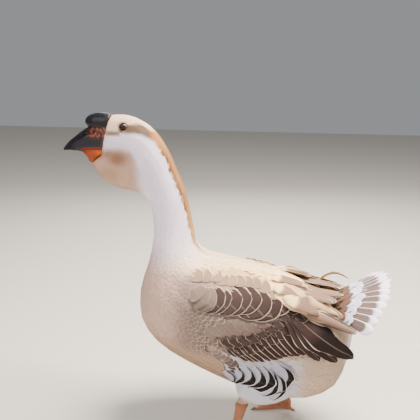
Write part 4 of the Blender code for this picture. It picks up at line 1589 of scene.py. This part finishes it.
@dataclass(frozen=True)
class Feathering:
    """The finish of one kind of feather."""

    name: str
    rim: Tone = Tone.EDGE
    lower_rim: float = 0.14     # widths of the pale edges, as shares of half the vane
    upper_rim: float = 0.14
    tip_rim: float = 0.05       # and of its length
    band_blur: float = 0.10
    upper_fade: float = 0.0     # how far the band fades towards the upper edge
    barbs: float = 30.0
    shaft: float = 0.5
    relief: float = 0.0002
    roughness: float = 0.80

    def material(self, group: NodeTree) -> Material:
        """Makes the material around the shared feather group.

        Args:
            group: that group.

        Returns:
            The material.
        """
        made, n, shader = new_material(self.name)
        vane = n.add("ShaderNodeUVMap", uv_map="Vane").outputs[0]
        across, along, _ = n.add("ShaderNodeSeparateXYZ", {0: vane}).outputs
        base, band = (n.add("ShaderNodeAttribute", attribute_name=name).outputs
                      for name in ("vane_base", "vane_band"))
        here = n.add("ShaderNodeTexCoord").outputs["Object"]
        marks = n.add("ShaderNodeGroup", node_tree=group)
        n.put(marks, {
            "Across": across, "Along": along, "Base": base["Color"], "Band From": base["Alpha"],
            "Band": band["Color"], "Rim Strength": band["Alpha"], "Rim": self.rim.value,
            "Lower Rim": self.lower_rim, "Upper Rim": self.upper_rim, "Tip Rim": self.tip_rim,
            "Band Blur": self.band_blur, "Upper Fade": self.upper_fade, "Barbs": self.barbs,
            "Shaft": self.shaft, "Cloud": n.noise(here, 45.0),
        })
        bump = n.add("ShaderNodeBump", {"Distance": self.relief, "Strength": 0.6,
                                        "Height": marks.outputs["Height"]})
        n.put(shader, {"Base Color": marks.outputs["Colour"], "Normal": bump.outputs[0],
                       "Roughness": self.roughness, "Specular IOR Level": 0.12})
        return made


@dataclass(frozen=True)
class Hide:
    """A painted skin or horn with grain: its colour attribute, pores and gloss."""

    name: str
    roughness: float
    coat: float = 0.0
    coat_roughness: float = 0.12
    grain: float = 300.0
    relief: float = 0.0002
    speckle: float = 0.20
    cells: float = 0.0          # size of scales, as a Voronoi scale, or none
    crease: Triple = (0.19, 0.054, 0.021)

    def material(self) -> Material:
        """Makes the material.

        Returns:
            The material.
        """
        made, n, shader = new_material(self.name)
        here = n.add("ShaderNodeTexCoord").outputs["Object"]
        painted = n.add("ShaderNodeAttribute", attribute_name="painted").outputs["Color"]
        cloud = n.noise(here, self.grain)
        colour = n.mix(self.speckle, painted, n.grey(n.ramp(cloud, 0.3, 0.7)), "MULTIPLY")
        height = cloud
        if self.cells:
            scales = n.add("ShaderNodeTexVoronoi", {"Vector": here, "Scale": self.cells},
                           feature="DISTANCE_TO_EDGE")
            plate = n.ramp(scales.outputs[0], 0.0, 0.16)
            height = n.math("MULTIPLY_ADD", cloud, 0.3, plate)
            gap = n.times(n.math("SUBTRACT", 1.0, plate), 0.35)
            colour = n.mix(gap, colour, self.crease)
        bump = n.add("ShaderNodeBump", {"Distance": self.relief, "Height": height})
        rough = n.math("MULTIPLY_ADD", cloud, 0.12, self.roughness - 0.06)
        n.put(shader, {"Base Color": colour, "Normal": bump.outputs[0], "Roughness": rough,
                       "Specular IOR Level": 0.16, "Coat Weight": self.coat,
                       "Coat Roughness": self.coat_roughness})
        return made


def dressed(obj: Object, material: Material, slot: str, *nodes: str) -> None:
    """Gives a finished piece its material and its body, and hides the solids it stands for.

    Args:
        obj: the piece.
        material: its material.
        slot: not used.
        nodes: names of the solids that it replaces.
    """
    obj.data.materials.clear()
    obj.data.materials.append(material)
    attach(obj, "root")
    if nodes:
        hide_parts(*nodes)
    log.info("%s: %d faces", obj.name, len(obj.data.polygons))


# ---- head and legs


def mouth_line(y: Array) -> Array:
    """The height of the mouth's line along the bill."""
    return level(y, (-0.366, 0.6440), (-0.345, 0.6460), (-0.321, 0.6476), (-0.296, 0.6497),
                 (-0.270, 0.6505))


@dataclass(frozen=True)
class Fold:
    """One ring of the folds round an eye."""

    out: float                  # how far outwards, as a share of the opening
    sunk: float                 # share of the way down from the eyeball to the feathers
    height: float
    dark: float


@dataclass
class Head:
    """Bill, knob, eyes and lids."""

    nodes: dict[str, Object]
    voxel: float = 0.0010
    nail_y: float = -0.3585
    nail_half: Pair = (0.0085, 0.0105)  # across and along the bill
    nostril: Pair = (-0.3150, 0.6795)   # (y, z) of its middle
    nostril_slope: float = 0.30
    nostril_half: Pair = (0.0058, 0.0019)
    nostril_rim: Pair = (0.0100, 0.0052)
    pupil: float = 0.0026
    iris: float = 0.0048
    lid_steps: int = 64
    horn: Hide = Hide("bill_horn", roughness=0.36, coat=0.05, grain=420, relief=0.00025)
    folds: tuple[Fold, ...] = (
        Fold(1.00, 0.00, -0.0008, 1.0), Fold(1.01, 0.00, 0.0004, 1.0),
        Fold(1.07, 0.05, 0.0009, 0.85), Fold(1.16, 0.16, 0.0009, 0.55),
        Fold(1.23, 0.34, 0.0002, 0.75), Fold(1.32, 0.46, 0.0009, 0.40),
        Fold(1.45, 0.68, 0.0008, 0.20), Fold(1.56, 0.88, -0.0001, 0.40),
        Fold(1.90, 1.20, -0.0008, 0.1),
    )

    def horn_piece(self, name: str, node: str, rounds: int) -> tuple[Object, Array, Array]:
        """Copies one horny solid with fine, even faces."""
        obj = grown_together(joined_copy(name, self.nodes, (node,)), self.voxel, rounds)
        return obj, vertices_of(obj.data), vertex_normals(obj.data)

    def upper(self) -> None:
        """Makes the upper bill with its nail, nostrils, lip and the orange by the forehead."""
        obj, co, normals = self.horn_piece("bill_top", "bill_upper", 6)
        x, y, z = folded(co)
        nail = np.exp(-(np.hypot(x / self.nail_half[0], (y - self.nail_y) / self.nail_half[1]) ** 4))
        nail *= normals[:, 2] > -0.2
        ahead = y - self.nostril[0]
        turned = (z - self.nostril[1]) - self.nostril_slope * ahead
        nostril, rim = (np.exp(-((ahead / half[0]) ** 2 + (turned / half[1]) ** 2) ** 1.5)
                        for half in (self.nostril_half, self.nostril_rim))
        mouth = mouth_line(y)
        lip = np.exp(-((z - mouth - 0.0030) / 0.0020) ** 2) * (y < -0.275)
        ridge = np.exp(-(x / 0.0035) ** 2) * smooth(-0.345, -0.325, y) * (normals[:, 2] > 0.3)
        grow = 0.0006 + 0.0011 * nail - 0.0034 * nostril * (x > 0.005) + 0.0008 * (rim - nostril)
        grow += 0.0007 * lip + 0.0005 * ridge
        move_vertices(obj.data, co + normals * grow[:, None])
        fine = 0.5 + 0.5 * np.sin(1300 * y + 300 * z) * np.sin(1100 * z - 500 * y)
        blotch = np.sin(230 * y + 2.1 * np.sin(190 * z) + 0.5)
        blotch = blotch * np.sin(360 * z + 1.7 * np.sin(210 * y) + 1.1)
        blotch += 0.6 * np.sin(760 * y + 420 * z + 1.5 * np.sin(610 * z + 200 * y))
        patch = smooth(-0.314, -0.292, y) * smooth(0.670, 0.680, z) * smooth(0.704, 0.692, z)
        patch = patch * smooth(-0.55, 0.95, blotch)
        base = horn_base(z)
        rear = smooth(base - 0.0085, base - 0.002, y) * smooth(0.702, 0.692, z)
        edge = smooth(mouth + 0.0046, mouth + 0.0022, z) * smooth(-0.338, -0.305, y)
        # the nostrils are painted near black: painted shade inside the openings
        paint(obj.data, layered(
            tone(31, 28, 33), (tone(48, 42, 46), 0.5 * fine), (tone(96, 66, 48), rear * 0.7),
            (tone(168, 90, 44), patch * smooth(0.005, 0.012, x) * 0.85),
            (tone(150, 52, 30), edge * 0.85), (tone(84, 76, 78), nail * 0.6),
            (tone(14, 12, 14), nostril * 0.9)))
        dressed(obj, self.horn.material(), "horn_dark", "bill_upper")

    def lower(self) -> None:
        """Makes the lower bill, orange by the gape and dark ahead."""
        obj, co, normals = self.horn_piece("bill_bottom", "bill_lower", 5)
        y, z = co[:, 1], co[:, 2]
        below = mouth_line(y) - z
        comb = np.sin(y * 2400) * np.exp(-((below - 0.0025) / 0.0016) ** 2) * (y < -0.28)
        move_vertices(obj.data, co + normals * (0.0005 + 0.0002 * comb)[:, None])
        paint(obj.data, layered(
            tone(66, 46, 40), (tone(150, 84, 44), smooth(-0.330, -0.300, y)),
            (tone(206, 110, 30), blob(y, below, (-0.2790, 0.0080), (0.0150, 0.0065))),
            (tone(172, 82, 38), 0.7 * blob(y, below, (-0.2960, 0.0120), (0.0150, 0.0080))),
            (tone(80, 36, 26), smooth(0.0022, 0.0006, below) * 0.7)))
        finish = Hide("gape_skin", roughness=0.45, coat=0.10, grain=380)
        dressed(obj, finish.material(), "horn_orange", "bill_lower")

    def knob(self) -> None:
        """Makes the knob on the forehead: dark, faintly dimpled and glossy."""
        obj, co, normals = self.horn_piece("knob_horn", "knob", 8)
        y, z = co[:, 1], co[:, 2]
        dimple = np.sin(190 * y + 1) * np.sin(170 * z) * np.sin(160 * co[:, 0] + 0.7)
        move_vertices(obj.data, co + normals * (0.0007 + 0.00018 * dimple)[:, None])
        base = horn_base(z)
        foot = smooth(0.7030, 0.6970, z) * smooth(-0.300, -0.275, y)
        paint(obj.data, layered(
            tone(40, 38, 44), (tone(84, 66, 58), smooth(base - 0.006, base - 0.001, y) * 0.5),
            (tone(120, 72, 46), foot * 0.5)))
        finish = Hide("knob_skin", roughness=0.36, coat=0.10, coat_roughness=0.30, grain=700,
                      relief=0.0003)
        dressed(obj, finish.material(), "horn_dark", "knob")

    def eye(self, label: str) -> None:
        """Makes one eyeball: dark brown with a black pupil under a clear glossy coat.

        Args:
            label: the side it is on.
        """
        bm = bmesh.new()
        place = Matrix.Translation((SIDES[label] * EYE_CENTRE[0], *EYE_CENTRE[1:]))
        bmesh.ops.create_uvsphere(bm, u_segments=40, v_segments=28, radius=EYE_RADIUS,
                                  matrix=place @ Matrix.Rotation(math.radians(90), 4, "Y"))
        obj = from_bmesh(f"eyeball_{label}", bm)
        co = vertices_of(obj.data)
        ahead, up = co[:, 1] - EYE_CENTRE[1], co[:, 2] - EYE_CENTRE[2]
        out = np.hypot(ahead, up)
        rays = 0.5 + 0.5 * np.sin(np.arctan2(up, ahead) * 34)
        brown = layered(tone(52, 32, 22), (tone(84, 52, 34), 0.6 * rays))
        paint(obj.data, layered(
            tone(8, 7, 7), (brown, smooth(self.pupil, self.pupil + 0.0006, out)),
            (tone(20, 15, 13), smooth(self.iris, self.iris + 0.0010, out))))
        finish = Hide(f"eye_{label}", roughness=0.25, coat=0.30, coat_roughness=0.05, speckle=0.0,
                      relief=0.0)
        dressed(obj, finish.material(), "eye_brown", f"eye_{label}")

    def lids(self, label: str) -> None:
        """Makes one eye's lids: an almond opening with folds that sink into the feathers.

        Args:
            label: the side they are on.
        """
        bm = bmesh.new()
        inner, step = 0.01, 0.001   # of the flat rings that the folds are made from
        profile = [bm.verts.new((inner + step * i, 0, 0)) for i in range(len(self.folds))]
        edges = [bm.edges.new(pair) for pair in zip(profile[:-1], profile[1:])]
        bmesh.ops.spin(bm, geom=profile + edges, cent=(0, 0, 0), axis=(0, 0, 1), angle=math.tau,
                       steps=self.lid_steps, use_merge=True)
        dark = []
        for vert in bm.verts:
            turn = math.atan2(vert.co.y, vert.co.x)
            fold = self.folds[round((vert.co.xy.length - inner) / step)]
            ahead = EYE_OPENING[0] * math.cos(turn)
            up = EYE_OPENING[1] * math.sin(turn) * (1 - 0.25 * math.cos(turn) ** 2)
            margin = math.sqrt(EYE_RADIUS ** 2 - ahead ** 2 - up ** 2)
            heavy = 0.0005 * max(0.0, math.sin(turn)) * (fold.height > 0)
            out = margin * (1 - fold.sunk) + 0.0014 * fold.sunk + fold.height * 0.8 + heavy
            vert.co = (SIDES[label] * (EYE_CENTRE[0] + out), EYE_CENTRE[1] + ahead * fold.out,
                       EYE_CENTRE[2] + up * fold.out)
            dark.append(fold.dark)
        if SIDES[label] < 0:    # mirrored, so its faces look inwards
            bmesh.ops.reverse_faces(bm, faces=bm.faces)
        obj = from_bmesh(f"eyelids_{label}", bm)
        paint(obj.data, layered(tone(150, 116, 92), (tone(34, 26, 22), np.array(dark))))
        finish = Hide(f"lid_{label}", roughness=0.50, grain=900, relief=0.0003)
        dressed(obj, finish.material(), "leg_skin")

    def build(self) -> None:
        """Makes every piece of the head that isn't feathered."""
        self.upper()
        self.lower()
        self.knob()
        for label in SIDES:
            self.eye(label)
            self.lids(label)


@dataclass(frozen=True)
class Claw:
    """A claw as it leaves its toe, in its foot's own frame with the ankle over the origin."""

    angle: float                # from straight ahead
    start: float                # distance of its root from the ankle
    length: float = 0.0122
    radius: float = 0.0037
    height: float = 0.0038      # of the root's middle over the floor
    droop: float = 0.0030       # how far the tip hangs below a straight line

    def point(self, ball: Vector) -> Vector:
        """Finds where a point of a unit ball, its axis upright, lands on the claw.

        Args:
            ball: the point.

        Returns:
            Its place.
        """
        along = (ball.z + 1) / 2
        width = math.hypot(ball.x, ball.y)
        size = self.radius * min(1.0, 3 * along + 0.7) * (1 - along) ** 0.70 if width else 0.0
        across, up = (ball.x / width * size, ball.y / width * size) if width else (0.0, 0.0)
        ahead = self.start + self.length * along
        high = max(self.height + up - self.droop * along ** 1.6, 0.0003)
        out = Vector((math.sin(self.angle), -math.cos(self.angle), 0)) * ahead
        side = Vector((math.cos(self.angle), math.sin(self.angle), 0)) * across
        return out + side + Vector((0, 0, high))


CLAWS = (
    Claw(math.radians(-27), 0.0774),
    Claw(0.0, 0.0836),
    Claw(math.radians(27), 0.0660),
    Claw(math.pi + 0.45, 0.0212, length=0.0086, radius=0.0026, height=0.0027, droop=0.0016),
)
ANKLES = {"left": (0.069, 0.039, math.radians(4)), "right": (0.092, 0.141, math.radians(6))}


@dataclass
class Legs:
    """Scaled shanks and webbed feet, with their claws."""

    nodes: dict[str, Object]
    voxel: float = 0.0015
    skin_over: float = 0.0003   # thickness of the scales over the solid
    ring_depth: float = 0.00018
    ring_turn: float = 1500     # radians of the rings' wave, per metre up
    horn: Hide = Hide("claw_horn", roughness=0.40, coat=0.10, grain=500)
    skin: Hide = Hide("leg_scales", roughness=0.52, coat=0.10, grain=160, relief=0.0007,
                      speckle=0.22, cells=430)

    def leg(self, label: str) -> None:
        """Makes one shank and its foot, ringed above and flat below.

        Args:
            label: the side it is on.
        """
        names = (f"shank_{label}", f"foot_{label}")
        obj = joined_copy(f"leg_{label}", self.nodes, names)
        grown_together(obj, self.voxel, 3)
        co, normals = vertices_of(obj.data), vertex_normals(obj.data)
        co = co + normals * self.skin_over
        shank = smooth(0.018, 0.034, co[:, 2])
        rings = np.sin(co[:, 2] * self.ring_turn) * self.ring_depth * shank
        co = co + normals * rings[:, None]
        co[:, 2] = np.maximum(np.where(co[:, 2] < 0.0009, 0.0, co[:, 2]), 0.0)
        move_vertices(obj.data, co)
        toes = smooth(0.0045, 0.0085, co[:, 2]) * (1 - shank)
        # the top of the shank, just under the feathers, is darkened with painted shade
        paint(obj.data, layered(
            tone(222, 170, 142), (tone(198, 146, 114), shank), (tone(212, 152, 118), toes),
            (tone(160, 108, 80), 0.5 * smooth(0.080, 0.098, co[:, 2]))))
        dressed(obj, self.skin.material(), "leg_skin", *names)

    def claws(self, label: str) -> None:
        """Makes the horn claws at the ends of one foot's toes.

        Args:
            label: the side they are on.
        """
        side = SIDES[label]
        across, along, turn = ANKLES[label]
        place = Matrix.Translation((side * across, along, 0)) @ Matrix.Rotation(side * turn, 4, "Z")
        bm = bmesh.new()
        for claw in CLAWS:
            ball = bmesh.ops.create_uvsphere(bm, u_segments=16, v_segments=14, radius=1.0)
            for vert in ball["verts"]:
                at = claw.point(vert.co)
                vert.co = place @ Vector((side * at.x, at.y, at.z))
        obj = from_bmesh(f"claws_{label}", bm)
        paint(obj.data, tone(146, 118, 98))
        dressed(obj, self.horn.material(), "horn_dark")

    def build(self) -> None:
        """Makes both legs."""
        for label in SIDES:
            self.leg(label)
            self.claws(label)


# ---- whole bird


@dataclass(frozen=True)
class Region:
    """Rows of large feathers that make one piece on each side of the bird."""

    label: str
    rows: tuple[Row, ...]
    finish: Feathering
    slot: str
    is_wing: bool = False       # over the wing's field, not over the body's form


BODY_FEATHER = Feathering("body_feather", lower_rim=0.20, upper_rim=0.20, tip_rim=0.12, barbs=14,
                          shaft=0.0)
WING_FEATHER = Feathering("quill", lower_rim=0.11, upper_rim=0.04, tip_rim=0.018, barbs=60,
                          shaft=0.35, roughness=0.62)
SCAPULAR_FEATHER = Feathering("scapular", lower_rim=0.09, upper_rim=0.09, tip_rim=0.032,
                              upper_fade=0.75, barbs=40, shaft=0.2)
MANTLE_FEATHER = Feathering("mantle", lower_rim=0.12, upper_rim=0.12, shaft=0.0)
FLANK_FEATHER = Feathering("flank_feather", rim=Tone.WHITE, lower_rim=0.06, upper_rim=0.06,
                           tip_rim=0.030, band_blur=0.02, barbs=40, shaft=0.1)
TERTIAL_FEATHER = Feathering("tertial", lower_rim=0.10, upper_rim=0.10, tip_rim=0.025, barbs=50,
                             shaft=0.35)
TAIL_FEATHER = Feathering("tail_feather", rim=Tone.WHITE, lower_rim=0.20, upper_rim=0.20,
                          tip_rim=0.03, band_blur=0.04, barbs=60, shaft=0.3)
TAIL_COVERT = Feathering("tail_covert", rim=Tone.WHITE, tip_rim=0.06, shaft=0.0)
REGIONS = (
    Region("quills", SECONDARIES, WING_FEATHER, "plumage_brown", is_wing=True),
    Region("coverts", COVERTS, WING_FEATHER, "plumage_brown", is_wing=True),
    Region("scapulars", SCAPULARS, SCAPULAR_FEATHER, "plumage_brown"),
    Region("mantle", MANTLE, MANTLE_FEATHER, "plumage_pale"),
    Region("flank", FLANK_STRIPE + FLANK, FLANK_FEATHER, "plumage_white"),
)


class Goose:
    """The whole bird: skin, coat, plumes, head and legs."""

    coat_ways = (0.0, 0.05, 0.15, 0.35, 0.5)    # distances from the bill along the body
    coat_depths = (0.0006, 0.0009, 0.0014, 0.0022, 0.0030)

    def __init__(self, nodes: dict[str, Object]) -> None:
        """Sets up what all pieces share.

        Args:
            nodes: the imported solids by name.
        """
        self.nodes = nodes
        self.rng = np.random.default_rng(SEED)
        self.marks = Markings()
        self.group = vane_group()
        self.finishes: dict[str, Material] = {}

    def feathered(self, sheet: VaneSheet, finish: Feathering, slot: str, *nodes: str,
                  unwrap: SkinMap | None = None) -> None:
        """Makes one piece of feathers and dresses it.

        Args:
            sheet: the feathers.
            finish: their finish, whose material is made once.
            slot: the piece's slot.
            nodes: names of the solids that it replaces.
            unwrap: the skin's unwrap, for small feathers.
        """
        if finish.name not in self.finishes:
            self.finishes[finish.name] = finish.material(self.group)
        dressed(sheet.object(unwrap), self.finishes[finish.name], slot, *nodes)

    def outer_form(self) -> Object:
        """Makes the form that the coat reaches to, with the flight feathers' bulk in it.

        Returns:
            The form, which is no piece of the bird.
        """
        form = joined_copy("form", self.nodes, FLESH + ("flight_left", "flight_right"))
        grown_together(form, FORM_VOXEL, 6)
        x, y, z = folded(vertices_of(form.data))
        bend = smooth(-0.100, -0.060, y) * smooth(0.060, 0.010, y)
        bend *= smooth(0.200, 0.230, z) * smooth(0.420, 0.390, z)
        return softened(form, 40, bend * smooth(0.050, 0.075, x))

    def skin(self) -> tuple[Object, SkinMap]:
        """Makes one skin inside the solids of flesh, sunk by the coat's depth.

        Returns:
            The skin and its unwrap.
        """
        obj = joined_copy("skin", self.nodes, FLESH)
        grown_together(obj, FORM_VOXEL, 10)
        co, normals = vertices_of(obj.data), vertex_normals(obj.data)
        depth = np.interp(self.marks.spine.way(co), self.coat_ways, self.coat_depths)
        depth = depth * smooth(0.095, 0.125, co[:, 2])
        move_vertices(obj.data, co - normals * depth[:, None])
        softened(obj, 2)
        unwrap = SkinMap(obj)
        paint(obj.data, self.marks.colours(vertices_of(obj.data)) * 0.94)
        finish = Hide("skin_down", roughness=0.85, grain=120, relief=0.0006)
        dressed(obj, finish.material(), "plumage_pale", *FLESH)
        return obj, unwrap

    def wing_form(self) -> SideField:
        """Finds how far out the folded left wing lies, and the right one mirrored.

        Returns:
            The wing's field.
        """
        wing = joined_copy("wing", self.nodes, ("wing_left", "flight_left"))
        grown_together(wing, FORM_VOXEL, 6)
        reach = SideField(Side(Surface(wing), 1), 3)
        bpy.data.objects.remove(wing)
        return reach

    def large_feathers(self, outer: Surface) -> list[VaneSheet]:
        """Lays the rows of larger feathers, tail included.

        Args:
            outer: the form that they lie on.

        Returns:
            The pieces before they are dressed.
        """
        laid: list[VaneSheet] = []
        form = self.wing_form()
        plumes = Plumes(self.rng)
        for word, sign in SIDES.items():
            side = Side(outer, sign)
            for region in REGIONS:
                sheet = VaneSheet(f"{region.label}_{word}", plumes.template, self.rng)
                for row in region.rows:
                    if region.is_wing:
                        plumes.beside(sheet, row, form, sign)
                    else:
                        plumes.over(sheet, row, side)
                laid.append(sheet)
                stands_for = (f"flight_{word}",) if region.label == "quills" else ()
                self.feathered(sheet, region.finish, region.slot, *stands_for)
            sheet = VaneSheet(f"rump_plumes_{word}", plumes.template, self.rng)
            for plume in RUMP_PLUMES + ((ARCHED_PLUME,) if sign < 0 else ()):
                for feather in plumes.ruffled(plume, FAR_DROP if sign < 0 else 0.0):
                    sheet.bend(feather, sign)
            laid.append(sheet)
            self.feathered(sheet, TERTIAL_FEATHER, "plumage_brown", f"tertials_{word}")
        return laid + self.tail(plumes)

    def tail(self, plumes: Plumes) -> list[VaneSheet]:
        """Lays the tail's quills and its coverts.

        Args:
            plumes: gives the vane that they repeat.

        Returns:
            The two pieces.
        """
        tail = Tail()
        quills = VaneSheet("tail_quills", plumes.template, self.rng)
        tail.build(quills)
        self.feathered(quills, TAIL_FEATHER, "plumage_brown", "tail")
        cover = VaneSheet("tail_coverts", plumes.template, self.rng)
        tail.coverts(cover)
        self.feathered(cover, TAIL_COVERT, "plumage_white")
        return [quills, cover]

    def build(self) -> None:
        """Makes every piece of the bird."""
        form = self.outer_form()
        outer = Surface(form)
        skin, unwrap = self.skin()
        large = self.large_feathers(outer)
        for sheet in Coat(outer, Surface(skin), self.marks, large, self.rng).sheets():
            self.feathered(sheet, BODY_FEATHER, "plumage_pale", unwrap=unwrap)
        bpy.data.objects.remove(form)
        Head(self.nodes).build()
        Legs(self.nodes).build()


@dataclass(frozen=True)
class Lamp:
    """One soft square light aimed at the bird."""

    name: str
    place: Triple
    size: float
    power: float
    colour: Triple
    target: Triple = (0, 0.02, 0.36)

    def build(self) -> None:
        """Hangs the light."""
        lamp = bpy.data.lights.new(self.name, "AREA")
        lamp.size = self.size
        lamp.energy = self.power
        lamp.color = self.colour
        obj = linked(self.name, lamp)
        obj.location = self.place
        aim = Vector(self.target) - Vector(self.place)
        obj.rotation_euler = aim.to_track_quat("-Z", "Y").to_euler()


@dataclass(frozen=True)
class Studio:
    """Floor, lights, sky and camera."""

    azimuth: float = math.radians(102)
    tilt: float = math.radians(14)
    camera: Triple = (1.2543, 0.2343, 0.8400)
    lens: float = 51.43
    floor_size: float = 6
    sky: Triple = (0.92, 0.95, 1.0)
    sky_strength: float = 0.32
    lamps: tuple[Lamp, ...] = (
        Lamp("key", (-0.1, 0.7, 2.3), 1.0, 235, (1.0, 0.94, 0.86)),
        Lamp("fill", (2.0, -1.0, 1.5), 2.0, 60, (0.96, 0.97, 1.0)),
        Lamp("back", (-1.9, -0.3, 1.5), 1.6, 34, (1.0, 0.97, 0.93)),
    )

    def floor(self) -> None:
        """A plain pale floor."""
        bm = bmesh.new()
        bmesh.ops.create_grid(bm, x_segments=1, y_segments=1, size=self.floor_size)
        floor = from_bmesh("floor", bm)
        made, n, shader = new_material("floor")
        n.put(shader, {"Base Color": tone(214, 208, 200), "Roughness": 0.9})
        floor.data.materials.append(made)

    def build(self) -> None:
        """Sets up the studio."""
        self.floor()
        for lamp in self.lamps:
            lamp.build()
        world = bpy.data.worlds.new("studio")
        bpy.context.scene.world = world
        world.use_nodes = True
        sky = world.node_tree.nodes["Background"]
        Nodes(world.node_tree).put(sky, {"Color": self.sky, "Strength": self.sky_strength})
        lens = bpy.data.cameras.new("camera")
        lens.lens = self.lens
        camera = linked("camera", lens)
        camera.location = self.camera
        ahead = Vector((-math.sin(self.azimuth) * math.cos(self.tilt),
                        math.cos(self.azimuth) * math.cos(self.tilt), -math.sin(self.tilt)))
        camera.rotation_euler = ahead.to_track_quat("-Z", "Y").to_euler()
        bpy.context.scene.camera = camera


def main() -> None:
    """Builds the dressed bird and its studio."""
    logging.basicConfig(level=logging.INFO, format="%(name)s: %(message)s")
    for old in list(bpy.data.objects):
        bpy.data.objects.remove(old)
    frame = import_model()
    Goose(frame["nodes"]).build()
    Studio().build()
    bpy.context.view_layer.update()
    log.info("boxes written")


if __name__ == "__main__":
    main()
